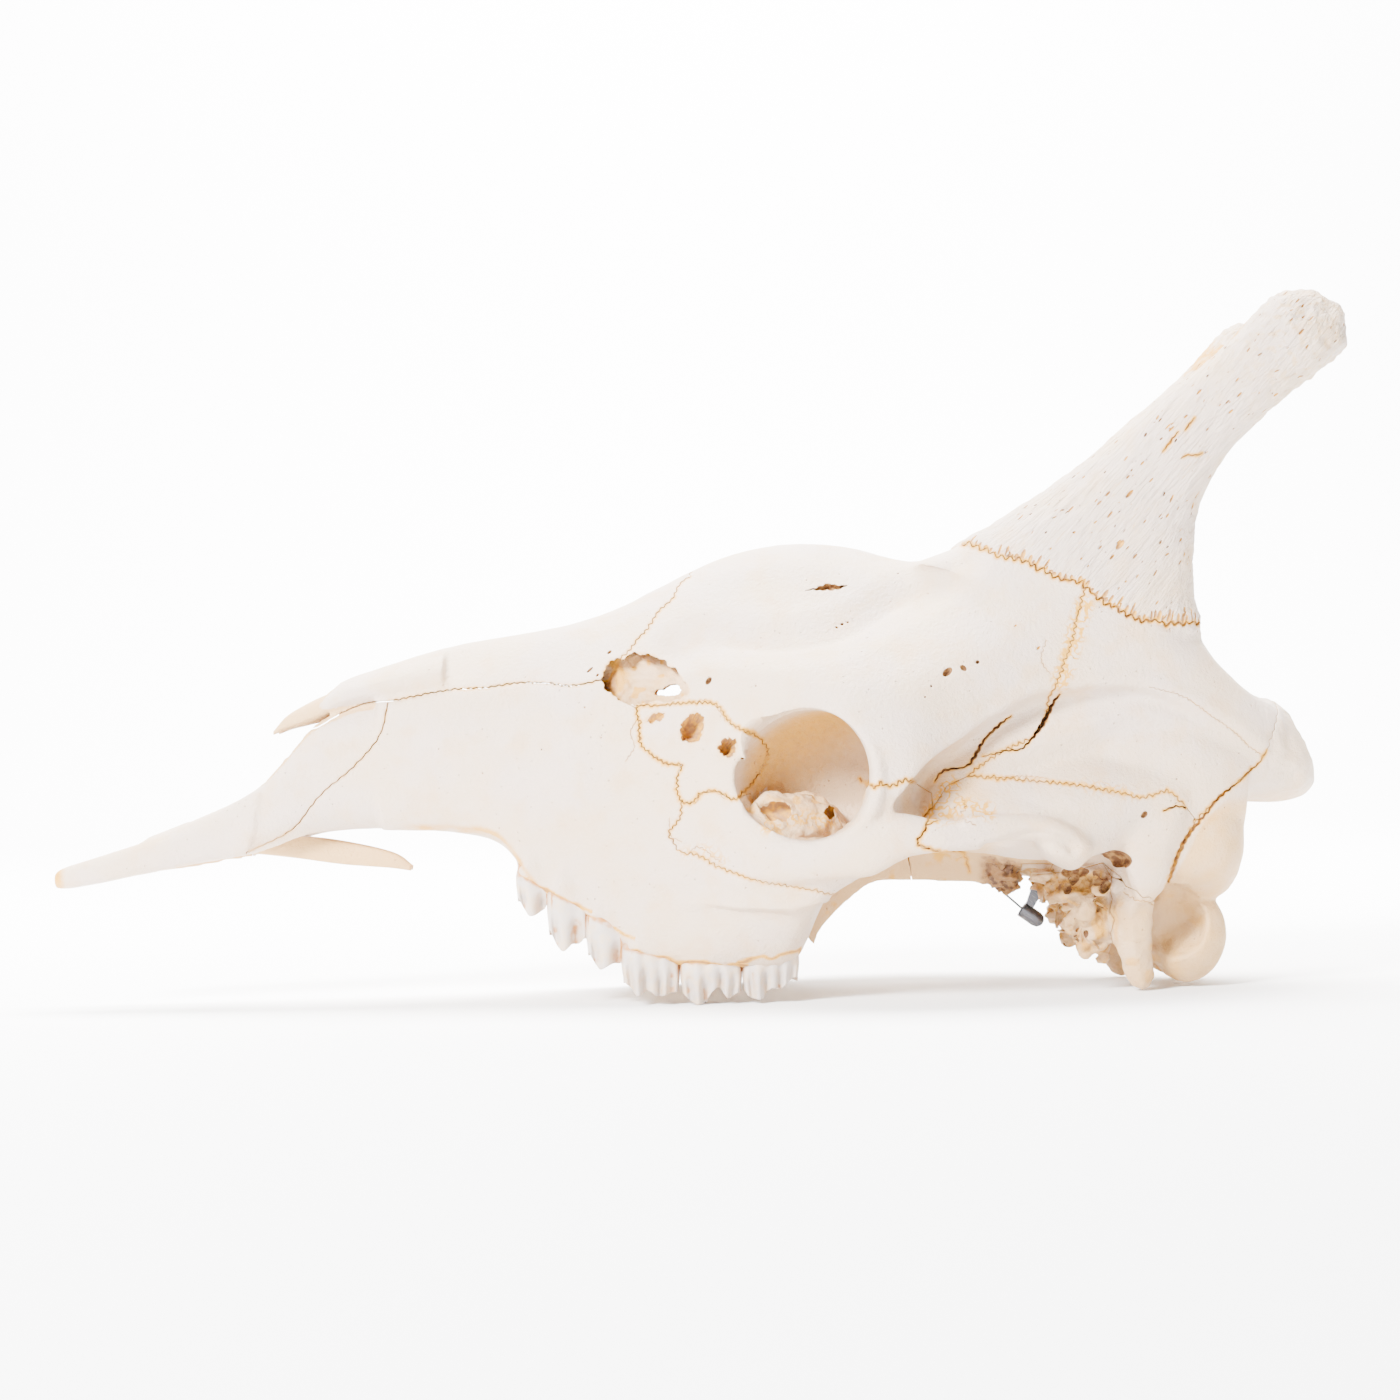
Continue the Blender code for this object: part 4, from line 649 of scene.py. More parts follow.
def head_form(lines, step=3.0):
    """The face and roof: a ring every few millimetres, curved through the lines of the head."""
    first = max(line[0][0] for line in lines)
    last = min(line[-1][0] for line in lines)
    places = np.linspace(first, last, int((last - first) / step) + 1)
    half = np.stack([through(line, places) for line in lines], axis=1)
    rings = []
    for x, side in zip(places, half):
        outline = rounded(np.vstack([side, side[1:-1][::-1] * (-1, 1)]))
        rings.append(np.column_stack([np.full(len(outline), x), outline]))
    return loft("head", rings)


def middle_form(rows, power=2.3, count=64, step=3.0):
    """A form across the middle plane, from ovals (x, half width, lowest z, highest z)."""
    places = np.linspace(rows[0][0], rows[-1][0], max(4, int((rows[-1][0] - rows[0][0]) / step)))
    c, s = circle(count, power)
    half, low, high = through(rows, places).T[:, :, None]
    x = np.broadcast_to(places[:, None], (len(places), count))
    return loft("form", np.stack([x, half * c, (low + high) / 2 + (high - low) / 2 * s], axis=-1))


def stepped(rows, per_row):
    """Rows of sizes with smooth steps added between them, per_row from one row to the next."""
    knots = [(k, *row) for k, row in enumerate(rows)]
    places = np.linspace(0, len(rows) - 1, per_row * (len(rows) - 1) + 1)
    return through(knots, places).T[:, :, None]


def side_form(rows, side, power=2.2, count=32, per_row=6):
    """A form on one side, from ovals between two edges: (x, z, x, z, w, half w)."""
    c, s = circle(count, power)
    x1, z1, x2, z2, w, half = stepped(rows, per_row)
    return loft("form", np.stack([(x1 + x2) / 2 + (x1 - x2) / 2 * c, side * w + half * s,
                                  (z1 + z2) / 2 + (z1 - z2) / 2 * c], axis=-1))


def cup_form(rows, side):
    """A form that runs outwards, from ovals (w, x, z, half x, half z)."""
    c, s = circle(72)
    w, x, z, half_x, half_z = stepped(rows, 6)
    return loft("cup", np.stack([x + half_x * c, side * w + 0 * c, z + half_z * s], axis=-1))


def eye_rim(side, count=96, around=20):
    """The raised ring round the eye socket: a round tube along an oval that leans with x."""
    rim = EYE_RIM
    c, s = circle(count)
    a = np.linspace(0, 2 * math.pi, around, endpoint=False)[:, None]
    tube = rim["tube"] * (0.46 + 0.18 * c - 0.24 * s)
    out = tube * np.cos(a)
    points = np.stack([rim["x"] + (rim["half_x"] + out) * c,
                       side * (rim["w"] - 1 + rim["slant"] * c + tube * np.sin(a)),
                       rim["z"] + (rim["half_z"] + out) * s], axis=-1)
    return closed_mesh("rim", points.reshape(-1, 3), wall_faces(around, count, closed=True))


def eye_edge():
    """A block that trims the upper lip of the left eye socket sharp, with the corner at its front.

    Its outline is an oval whose radius gains at one angle: the corner's height times
    exp(-((a - its angle) / its reach)^2).
    """
    edge = EYE_EDGE
    c, s = circle(120)
    angle = np.arctan2(s, c)
    corner = edge["corner"] * np.exp(-((angle - edge["corner_at"]) / edge["corner_reach"]) ** 2)
    low = 2.4 * rise(-s, -0.15, 0.5) + 1.8 * np.exp(-((np.abs(angle) - math.pi) / 0.45) ** 2)
    rings = []
    for w, share in ((84, 0.0), (92, 0.15), (102, 1.0), (OUTER, 1.0)):
        grown = share * corner - low
        rings.append(np.column_stack([edge["x"] + (edge["half_x"] + grown) * c,
                                      -(w + EYE_RIM["slant"] * c * (w < OUTER)),
                                      edge["z"] + (edge["half_z"] + grown) * s]))
    return loft("eye_edge", rings)


def socket(number, side):
    """The swelling of the jaw round one tooth's root, from the gum line up into the bone."""
    (first, last), (gum_first, gum_last), (outer, inner), _ = TEETH[number]
    c, s = circle(40, 3.0)
    gum = gum_first + (gum_last - gum_first) * (c + 1) / 2
    mid_w = (outer + inner) / 2
    rings = []
    for v in np.linspace(0, 1, 7):
        size = 1.0 - 0.3 * v ** 1.5
        rings.append(np.column_stack([(first + last) / 2 + (last - first) / 2 * size * c + 2.5 * v,
                                      side * (mid_w + ((outer - inner) / 2 + 0.7) * size * s),
                                      gum + 0.4 + 17 * v]))
    return loft("socket", rings)


def ball(centre, halves, finish=BONE_FACE, rings=20, count=32):
    """Ellipsoid from its centre and half sizes, as ovals along x."""
    turns = np.linspace(0.03, math.pi - 0.03, rings)[:, None]
    c, s = circle(count)
    return loft("ball", np.stack([centre[0] - halves[0] * np.cos(turns) + 0 * c,
                                  centre[1] + halves[1] * np.sin(turns) * c,
                                  centre[2] + halves[2] * np.sin(turns) * s], axis=-1), finish)


def temple_hollow(side):
    """The space behind the eye: open below and outwards, closed by the brow above it."""
    x = np.linspace(TEMPLE_EDGE[0][0], TEMPLE_EDGE[-1][0], 68)
    top = through(TEMPLE_EDGE, x)[:, 0]
    w = through(TEMPLE_WALL, x)[:, 0]
    low, out = np.full(len(x), TEMPLE_LOW), np.full(len(x), OUTER)
    section = [(w - 3, low), (w + 2, top - 40), (w + 4, top - 26), (w + 3, top - 17), (w - 1, top - 9),
               (w - 1, top - 6), (w + 2, top - 3), (w + 9, top), (out, top + 4), (out, low)]
    return loft("temple", np.stack([np.column_stack([x, side * a, b]) for a, b in section], axis=1))


def prism(outline, inner, outer, inset=0.0, slant=0.0, level_z=0.0, finish=BONE_FACE):
    """A block with a side-view outline between two y, drawn in by inset all round.

    With a slant the inner side leans: it lies at inner where z is level_z.
    """
    points = np.asarray(outline, float)
    if inset:
        after = np.roll(points, -1, axis=0)
        turned = np.sum(points[:, 0] * after[:, 1] - points[:, 1] * after[:, 0])
        normal = left_of(after - points) * math.copysign(1, turned)
        mean = normal + np.roll(normal, 1, axis=0)
        mean /= np.maximum(np.sum(mean ** 2, axis=1), 1.6)[:, None] / 2
        points = points + inset * mean
    lean = math.copysign(1, outer - inner) * slant * (level_z - points[:, 1])
    sides = [(inner + lean) * (1 - t) + outer * t for t in (0, 1)]
    return loft("prism", [np.column_stack([points[:, 0], y, points[:, 1]]) for y in sides], finish)


def funnel(outline, surface, depth, finish):
    """A hole from a side-view outline whose lower walls slope in to one side of its floor."""
    points = np.asarray(outline, float)
    low = points.mean(axis=0) + (-1.4, -1.8) + 0.45 * (points - points.mean(axis=0))
    rings = [(low, surface + depth), (points, surface + depth * 0.25), (points, -OUTER)]
    return loft("hole", [np.column_stack([ring[:, 0], np.full(len(ring), y), ring[:, 1]])
                         for ring, y in rings], finish)


def settle(made):
    """Replaces an object's mesh by what its modifiers give."""
    graph = bpy.context.evaluated_depsgraph_get()
    mesh = bpy.data.meshes.new_from_object(made.evaluated_get(graph))
    made.modifiers.clear()
    made.data = mesh
    return made


def combine(made, others, operation):
    """One Boolean of an object with a collection of others, which are then removed."""
    group = bpy.data.collections.new("tools")
    bpy.context.scene.collection.children.link(group)
    for other in others:
        bpy.context.scene.collection.objects.unlink(other)
        group.objects.link(other)
    step = made.modifiers.new("combine", "BOOLEAN")
    step.operation = operation
    step.operand_type = "COLLECTION"
    step.collection = group
    step.solver = "MANIFOLD"
    settle(made)
    for other in list(group.objects):
        bpy.data.objects.remove(other)
    bpy.data.collections.remove(group)
    return made


def largest(made):
    """Keeps the closed surface with the most points and drops any loose scrap.

    Every point takes the lowest label among its neighbours until nothing changes.
    """
    mesh = made.data
    first, second = ends_of(mesh).T
    label = np.arange(len(mesh.vertices))
    while True:
        low = np.minimum(label[first], label[second])
        after = label.copy()
        np.minimum.at(after, first, low)
        np.minimum.at(after, second, low)
        after = after[after]
        if np.array_equal(after, label):
            break
        label = after
    names, counts = np.unique(label, return_counts=True)
    if len(names) > 1:
        loose = np.flatnonzero(label != names[counts.argmax()])
        work = bmesh.new()
        work.from_mesh(mesh)
        work.verts.ensure_lookup_table()
        bmesh.ops.delete(work, geom=[work.verts[k] for k in loose], context="VERTS")
        work.to_mesh(mesh)
        work.free()
    return made


def eased(made, spots, rounds=60):
    """Draws the surface smooth near some spots (x, w, z, reach).

    Each point moves half way to the mean of its neighbours, and less towards a spot's edge.
    """
    points = corners_of(made.data)
    edges = ends_of(made.data)
    beside = np.column_stack([points[:, 0], np.abs(points[:, 1]), points[:, 2]])
    share = np.zeros(len(points))
    for *spot, reach in spots:
        share = np.maximum(share, 1 - rise(np.linalg.norm(beside - spot, axis=1), reach * 0.45, reach))
    near = edges[(share[edges] > 0).any(axis=1)]
    names, near = np.unique(near, return_inverse=True)
    first, second = near.reshape(-1, 2).T
    total = np.bincount(first, minlength=len(names)) + np.bincount(second, minlength=len(names))
    local, pull = points[names], (0.5 * share[names] / total)[:, None]
    for _ in range(rounds):
        around = np.stack([np.bincount(first, local[second, k], len(names))
                           + np.bincount(second, local[first, k], len(names)) for k in range(3)], axis=1)
        local = local + pull * (around - total[:, None] * local)
    points[names] = local
    move(made.data, points)
    return made


def twin(made, name):
    """The same piece on the other side of the head."""
    mesh = made.data.copy()
    mesh.transform(Matrix.Scale(-1, 4, (0, 1, 0)))
    mesh.flip_normals()
    return linked(name, mesh)


# The form of the whole skull.

def whole_skull():
    """All the bone in one closed surface, with its hollows cut and its joins blended."""
    skull = head_form(HEAD_LINES)
    combine(skull, [temple_hollow(side) for side in (-1, 1)], "DIFFERENCE")
    forms = [middle_form(MUZZLE, 3.0), middle_form(NASALS, 2.0), middle_form(BRAINCASE),
             middle_form(NECK_CREST, 2.6), middle_form(SKULL_BASE), middle_form(SKULL_REAR, 2.6)]
    hollows = [middle_form(NOSE_CAVITY, 3.0), middle_form(THROAT, 3.0), middle_form(NECK_HOLE)]
    knob, slot = CONDYLE, PALATE_SLOT
    for side in (-1, 1):
        forms += [side_form(rows, side) for rows in (HORN_CORE, SNOUT_BAR, CHEEK_ARCH, JAW_JOINT, EAR_SPUR,
                                                     EAR_BULB, THROAT_BLADE)]
        forms += [side_form(SQUAMA, side, power=1.5), eye_rim(side)]
        forms += [ball((x, side * w, z), halves) for (x, w, z), halves in EAR_LUMPS]
        forms += [socket(number, side) for number in range(len(TEETH))]
        forms.append(ball((knob["x"], side * knob["w"], knob["z"]),
                          (knob["half_x"], knob["half_w"], knob["half_z"])))
        hollows.append(cup_form(EYE_CUP, side))
        hollows.append(ball((knob["hollow_x"], side * knob["hollow_w"], knob["hollow_z"]),
                            (knob["hollow"],) * 3))
        hollows.append(ball(((slot["first"] + slot["last"]) / 2, side * slot["w"], slot["z"]),
                            ((slot["last"] - slot["first"]) / 2, slot["half_w"], slot["half_z"])))
        (x, w, z), halves = FACE_POCKET
        hollows.append(ball((x, side * w, z), halves))
    combine(skull, forms, "UNION")
    for hollow in hollows:
        combine(skull, [hollow], "DIFFERENCE")
    inside = [side_form(rows, side) for side in (-1, 1) for rows in (EYE_FLOOR_BULB, NECK_PROCESS)]
    (x, w, z), halves = TEAR_KNOB
    inside += [ball((x, side * w, z), halves) for side in (-1, 1)]
    wall = [(x, 2.6, low - 4, high + 3) for x, _, low, high in NOSE_CAVITY if x > 225]
    inside.append(middle_form(wall, 8))
    combine(skull, inside, "UNION")
    blend = skull.modifiers.new("blend", "REMESH")
    blend.mode = "VOXEL"
    blend.voxel_size = sizes().voxel * MM
    soften = skull.modifiers.new("soften", "SMOOTH")
    soften.factor = 0.5
    soften.iterations = sizes().blend
    return eased(largest(settle(skull)), EASED)


# Lines drawn in the side view.

LINES = {name: wandered(line, height, pitch, seed, closed=name == "tear")
         for seed, (name, (line, height, pitch, _)) in enumerate(SUTURES.items(), 11)}


def line_map(lines, reach, cell=0.5, low=(-10.0, -10.0), count=(1440, 780)):
    """Nearness to lines as a grid over the side view: 1 on a line and 0 at reach from it."""
    grid = np.zeros(count)
    span = int(reach / cell) + 1
    step = np.arange(-span, span + 1)
    for points, strength in lines:
        run = run_along(points)
        at = np.arange(0, run[-1], cell * 0.8)
        dense = np.column_stack([np.interp(at, run, points[:, k]) for k in (0, 1)])
        place = (dense - low) / cell
        home = np.round(place).astype(int)
        ix = np.clip(home[:, 0, None, None] + step[None, :, None], 0, count[0] - 1)
        iz = np.clip(home[:, 1, None, None] + step[None, None, :], 0, count[1] - 1)
        ix, iz = np.broadcast_arrays(ix, iz)
        far = np.hypot(ix - place[:, 0, None, None], iz - place[:, 1, None, None]) * cell
        np.maximum.at(grid, (ix, iz), strength * np.clip(1 - far / reach, 0, 1))

    def read(points):
        """The grid's value under each (x, z), blended between its four cells."""
        x = np.clip((points[:, 0] - low[0]) / cell, 0, count[0] - 1.001)
        z = np.clip((points[:, -1] - low[1]) / cell, 0, count[1] - 1.001)
        i, j = x.astype(int), z.astype(int)
        u, v = x - i, z - j
        return (grid[i, j] * (1 - u) * (1 - v) + grid[i + 1, j] * u * (1 - v)
                + grid[i, j + 1] * (1 - u) * v + grid[i + 1, j + 1] * u * v)

    return read


def near_line(points, line, reach):
    """1 on a smooth side-view line, 0 at reach from it and a smooth step between."""
    return rise(line_map([(smooth(line), 1.0)], reach)(points), 0, 1)


def outlines():
    """The bones in the order they are parted: (name, side-view outline, inner w, outer w, slant).

    A bone with no inner w crosses the middle plane; the others come in pairs.
    """
    half = sizes().gap / 2
    rear, low, top = 720, -20, 400
    line = LINES
    horn = [*line["horn"], (720, 230), (720, top), (470, top)]
    premaxilla = [(-20, 30), (106.5, 30), *line["snout"][:-1], *line["ridge"], (100, 138), (-20, 130)]
    nasal = [(90, 136), (100, 138), *line["ridge"][::-1], *line["nose"][1:], *line["root"][1:], (349, 290),
             (90, 290)]
    zygomatic = [*line["cheek"][::-1], (344.4, 105.5), (350.2, 111), (358.5, 111.9), (366, 107.5),
                 (376, 110), (400, 114), *line["eye_bar"], (470, 108), *line["arch"], (450, 50)]
    temporal = [*line["temple"], (609, 90.2), (600.8, 77.2), (595.3, 64.2), (590.6, 50.6), (587, 47.5),
                (583.5, 50.5), (580, 50), (576.5, 54), (572, 56), (569.5, 61), (562, 68), (545, 64),
                (493, 60), *line["arch"][:-1][::-1], (478, 112)]
    ear_bulb = [(520, 68), (562, 68), (566, 61), (564.3, 55), (566.4, 49), (564.6, 43), (566.8, 38),
                (565, 31), (566.4, 24), (565, 5), (520, 5)]
    occipital = [*line["neck"], (577, 56), (566, 61), (556, 66), (545, 64), (545, low), (rear, low),
                 (rear, 172)]
    palatine = [(386, 8), (396, 14), (452, 40), (462, 60), (458, 90), (430, 90), (415, 84), (396, 66),
                (386, 52)]
    sphenoid = [(452, 40), (545, low), (545, 64), (556, 66), (556, 80), (500, 88), (458, 90), (462, 60)]
    parietal = [*line["crown"], (470, 90), (500, 60), (rear, 60), (rear, 260), (552, 260)]
    maxilla = [(90, 20), *line["snout"], *line["nose"][1:], (309, 160), (317.3, 156), (318.7, 148.5),
               (319, 138), (325.6, 130.6), (333.3, 126.2), (340.6, 125.5), (337.8, 118.8), (339.7, 107.1),
               (370, 106), (400, 98), (425, 90), (440, 86), (474, 85), (474, low), (90, low)]
    frontal = [(-50, low), (rear, low), (rear, top), (-50, top)]
    return [("horn_core", horn, 8, OUTER, 0.4), ("premaxilla", premaxilla, half, OUTER, 0),
            ("nasal", nasal, half, OUTER, 0), ("lacrimal", line["tear"], 54, OUTER, 0),
            ("zygomatic", zygomatic, 63, OUTER, 0), ("temporal", temporal, 40, OUTER, 0),
            ("ear_bulb", ear_bulb, 20, OUTER, 0), ("occipital", occipital, None, OUTER, 0),
            ("palatine", palatine, half, 44, 0), ("sphenoid", sphenoid, None, 44, 0),
            ("parietal", parietal, None, OUTER, 0), ("maxilla", maxilla, half, OUTER, 0),
            ("frontal", frontal, half, OUTER, 0)]


def region(outline, inner, outer, slant, side, inset=0.0):
    """The block that holds one bone, on one side or across the middle plane."""
    if inner is None:
        return prism(outline, -(outer - inset), outer - inset, inset, finish=AMBER_FACE)
    near = inner + inset if inner > 1 else inner
    return prism(outline, side * near, side * (outer - inset), inset, slant, SLANT_LEVEL, AMBER_FACE)


def part_bones(skull):
    """Cuts each bone out of the skull along its outline and lists them by name."""
    bones = {}
    gap = sizes().gap
    for name, outline, inner, outer, slant in outlines():
        bone = linked(name, skull.data.copy())
        combine(bone, [region(outline, inner, outer, slant, -1, inset=gap)], "INTERSECT")
        bones[name] = (largest(bone), inner is not None)
        if name == "frontal":
            break
        if inner is None or inner < 1:
            combine(skull, [region(outline, None, outer, slant, 1)], "DIFFERENCE")
        else:
            for side in (-1, 1):
                combine(skull, [region(outline, inner, outer, slant, side)], "DIFFERENCE")
    bpy.data.objects.remove(skull)
    return bones


# Weathering of the whole surface.

def inside_ovals(points, rows, margin=0.0, power=2.0):
    """Whether each point is inside a form of ovals across the middle plane, drawn out by margin."""
    half, low, high = through(rows, points[:, 0]).T
    across = np.abs(points[:, 1]) / (half + margin)
    along = np.abs(points[:, 2] - (low + high) / 2) / ((high - low) / 2 + margin)
    within = (points[:, 0] > rows[0][0]) & (points[:, 0] < rows[-1][0])
    return within & (across ** power + along ** power < 1)


def socket_depth(points):
    """How far each point lies inside the eye socket, in mm below the plane of its rim."""
    x, w, z = points[:, 0], np.abs(points[:, 1]), points[:, 2]
    at, *columns = np.array(EYE_CUP[::-1]).T
    mid_x, mid_z, size_x, size_z = (np.interp(w, at, column) for column in columns)
    across = ((x - mid_x) / (size_x + 2.5)) ** 2 + ((z - mid_z) / (size_z + 2.5)) ** 2
    rim_w = EYE_RIM["w"] + EYE_RIM["slant"] * (x - EYE_RIM["x"]) / EYE_RIM["half_x"]
    return np.where((across < 1) & (w > 38), np.clip(rim_w - w, 0, None), 0)


def horn_place(points):
    """How far up a horn core each point is, from 0 at its foot to 1 at its tip."""
    foot, way = np.array(HORN_FOOT), np.subtract(HORN_TIP, HORN_FOOT)
    share = ((points[:, (0, 2)] - foot) @ way) / (way @ way)
    return np.where(points[:, 2] > 188, share, -1)


def broken_place(points):
    """1 in the broken bone of the skull base and the ear region, 0 away from it."""
    x, w, z = points[:, 0], np.abs(points[:, 1]), points[:, 2]
    base = band(x, (496, 504), (518, 522)) * band(z, None, (70, 76)) * band(w, None, (28, 34))
    ear = band(x, (519, 525), (560, 569)) * band(z, None, (62, 68)) * rise(w, 14, 20)
    return np.maximum(base, ear * band(w, None, (60, 68)))


def weather(skull):
    """Moves every point of the form along its normal by the bone's own unevenness.

    The field adds broad and small noise, streaks that run up the horn cores, lumps at their
    tips, a sunk line at each suture, the ridges of cheek, arch and temple, the valley beside
    the forehead's swelling, and the ragged broken bone.
    """
    points, normals = corners_of(skull.data), normals_of(skull.data)
    x, w, z = points[:, 0], np.abs(points[:, 1]), points[:, 2]
    relief = sizes().relief
    field = relief * (1.1 * noise(points, 26, 1) + 0.55 * noise(points, 9, 2)
                      + 0.22 * noise(points, 3.4, 3))
    up = horn_place(points)
    way_x, way_z = np.subtract(HORN_TIP, HORN_FOOT)
    turn = math.atan2(way_z, way_x)
    along = x * math.cos(turn) + z * math.sin(turn)
    across = -x * math.sin(turn) + z * math.cos(turn)
    grain = np.column_stack([along, across, points[:, 1]])
    streaks, coarse = (noise(grain / cell, 1.0, seed)
                       for cell, seed in (((9, 1.5, 1.7), 4), ((22, 4.2, 4.6), 5)))
    field += (rise(up, -0.05, 0.12) * relief * (1.8 * streaks + 2.2 * coarse)
              * (1 - 0.5 * rise(up, 0.75, 0.95)))
    lumps = 3.4 * noise(points, 8, 6) + 3.6 * np.abs(noise(points, 4, 7)) - 1.2
    field += rise(up, 0.68, 0.9) * relief * lumps
    near = line_map([(line, 1.0) for line in LINES.values()], 2.6)
    field -= 0.35 * near(points) ** 2 * (w > 20)
    ragged_bone = 2.2 - 5.2 * np.abs(noise(points, 8, 8)) - 2.2 * np.abs(noise(points, 3.4, 9))
    field += broken_place(points) * ragged_bone
    lumpy = rise(socket_depth(points), 8, 16) * band(z, None, (108, 118)) * rise(w, 46, 52)
    field += lumpy * (2.6 * noise(points, 11, 16) + 1.6 * noise(points, 5, 17)
                      + 0.7 * noise(points, 2.6, 18))
    field += rise(w, 70, 78) * 1.2 * near_line(points, CHEEK_RIDGE, 7.0)
    arch = 2.2 * near_line(points, ARCH_RIDGE, 8.0) - 2.4 * near_line(points, ARCH_FOLD, 5.0)
    field += rise(w, 72, 80) * arch
    hollow = (CONDYLE["hollow_x"], CONDYLE["hollow_w"], CONDYLE["hollow_z"])
    knob = np.linalg.norm(np.column_stack([x, w, z]) - hollow, axis=1)
    foot = band(x, (562, 566), (592, 598)) * band(z, None, (46, 56))
    edge = x - level([(0, 582), (20, 577), (40, 575), (60, 580)], z)
    field += foot * (1.6 - np.abs(edge) * 0.34) * (w > 40)
    uneven = 1.1 * noise(points, 9, 19) + 0.6 * noise(points, 4, 20)
    field += uneven * np.maximum(band(knob, None, (22, 25)), foot * rise(z, 2, 8))
    above = z - level(CHEEK_RIDGE, x)
    span = band(x, (343, 362), (432, 450))
    field += rise(w, 60, 70) * span * 2.1 * np.tanh(above / 0.7) * np.exp(-np.abs(above) / 6)
    crest = rise(x, 640, 652) * rise(z, 96, 106)
    field += crest * relief * (3.0 * noise(points, 7, 14) + 1.6 * noise(points, 3, 15))
    field -= rise(w, 30, 44) * 4.6 * near_line(points, VALLEY, 17.0)
    over = z - level(VALLEY, x) + 3
    fold = band(x, (352, 380), (446, 474)) * rise(w, 30, 44)
    field -= fold * 1.5 * np.tanh(over / 2.2) * np.exp(-np.abs(over) / 10)
    field += rise(w, 44, 54) * 1.1 * near_line(points, TEMPLE_RIDGE, 7.0)
    over = z - level(HORN_SUTURE, x)
    field += 1.1 * rise(over, -0.6, 1.0) * band(over, None, (4, 18)) * rise(x, 480, 495)
    move(skull.data, points + normals * field[:, None])
    return skull


# What is cut into the surface after it is weathered.

class Skin:
    """Finds the outer surface of the skull's left side."""

    def __init__(self, skull):
        self.tree = BVHTree.FromObject(skull, bpy.context.evaluated_depsgraph_get())

    def at(self, x, z):
        """Place and normal of the surface that a line from the left meets at (x, z), or None."""
        hit, normal, _, _ = self.tree.ray_cast(Vector(placed((x, -OUTER, z)).tolist()), Vector((0, 1, 0)))
        if hit is None:
            return None
        return np.array(hit) / MM + (MIDDLE_X, 0, 0), np.array(normal)

    def under(self, line):
        """The numbers of the side-view places (x, z) that lie on bone, with place and normal."""
        hits = [self.at(x, z) for x, z in line]
        keep = [k for k, hit in enumerate(hits) if hit]
        return keep, np.array([hits[k][0] for k in keep]), np.array([hits[k][1] for k in keep])


def pits(places, normals, along, halves, finish, rings=6, count=8):
    """Many small ellipsoids in one mesh, each sunk in the surface with its length along `along`."""
    turns = np.linspace(0.12, math.pi - 0.12, rings)
    c, s = circle(count)
    unit = np.stack([-np.cos(turns)[:, None] + 0 * c, np.sin(turns)[:, None] * c,
                     np.sin(turns)[:, None] * s], axis=-1).reshape(-1, 3)
    deep = normals / np.linalg.norm(normals, axis=1)[:, None]
    along = along - deep * np.sum(along * deep, axis=1)[:, None]
    along /= np.linalg.norm(along, axis=1)[:, None]
    across = np.cross(deep, along)
    axes = np.stack([along, across, deep], axis=1) * halves[:, :, None]
    points = places[:, None, :] + np.einsum("pk,nkc->npc", unit, axes)
    cap = wall_faces(rings, count) + [list(range(count)), list(range((rings - 1) * count, rings * count))]
    faces = [[k + n * len(unit) for k in face] for n in range(len(places)) for face in cap]
    return closed_mesh("pits", points.reshape(-1, 3), faces, finish)


def ribbon(line, widths, depth, skin, finish=AMBER_FACE, outside=3.0):
    """A cut that follows a side-view line over the surface: its width at each point of the line,
    from just outside the surface down to depth."""
    line = np.asarray(line, float)
    keep, places, _ = skin.under(line)
    line, y = line[keep], places[:, 1]
    widths = np.interp(np.linspace(0, 1, len(line)), np.linspace(0, 1, len(widths)), widths)
    across = left_of(np.gradient(line, axis=0)) * (widths / 2)[:, None]
    (x, z), (way_x, way_z) = line.T, across.T
    rings = [np.column_stack([x + share * way_x, y + deep, z + share * way_z])
             for share, deep in ((1, -outside), (-1, -outside), (-0.5, depth), (0.5, depth))]
    return loft("ribbon", np.stack(rings, axis=1), finish)


# Materials.

class Value:
    """A number in a material's graph. Plain arithmetic on it adds Math nodes."""

    def __init__(self, graph, socket):
        self.graph = graph
        self.socket = socket

    def math(self, operation, *others):
        return self.graph.node("ShaderNodeMath", {"operation": operation}, [self, *others])

    def __add__(self, other):
        return self.math("ADD", other)

    def __sub__(self, other):
        return self.math("SUBTRACT", other)

    def __mul__(self, other):
        return self.math("MULTIPLY", other)

    def __rsub__(self, other):
        return self.graph.node("ShaderNodeMath", {"operation": "SUBTRACT"}, [other, self])

    __radd__ = __add__
    __rmul__ = __mul__

    def rise(self, low, high):
        """0 below low, 1 above high and a smooth step between them."""
        return self.graph.node("ShaderNodeMapRange", {"interpolation_type": "SMOOTHSTEP"},
                               {"Value": self, "From Min": low, "From Max": high})


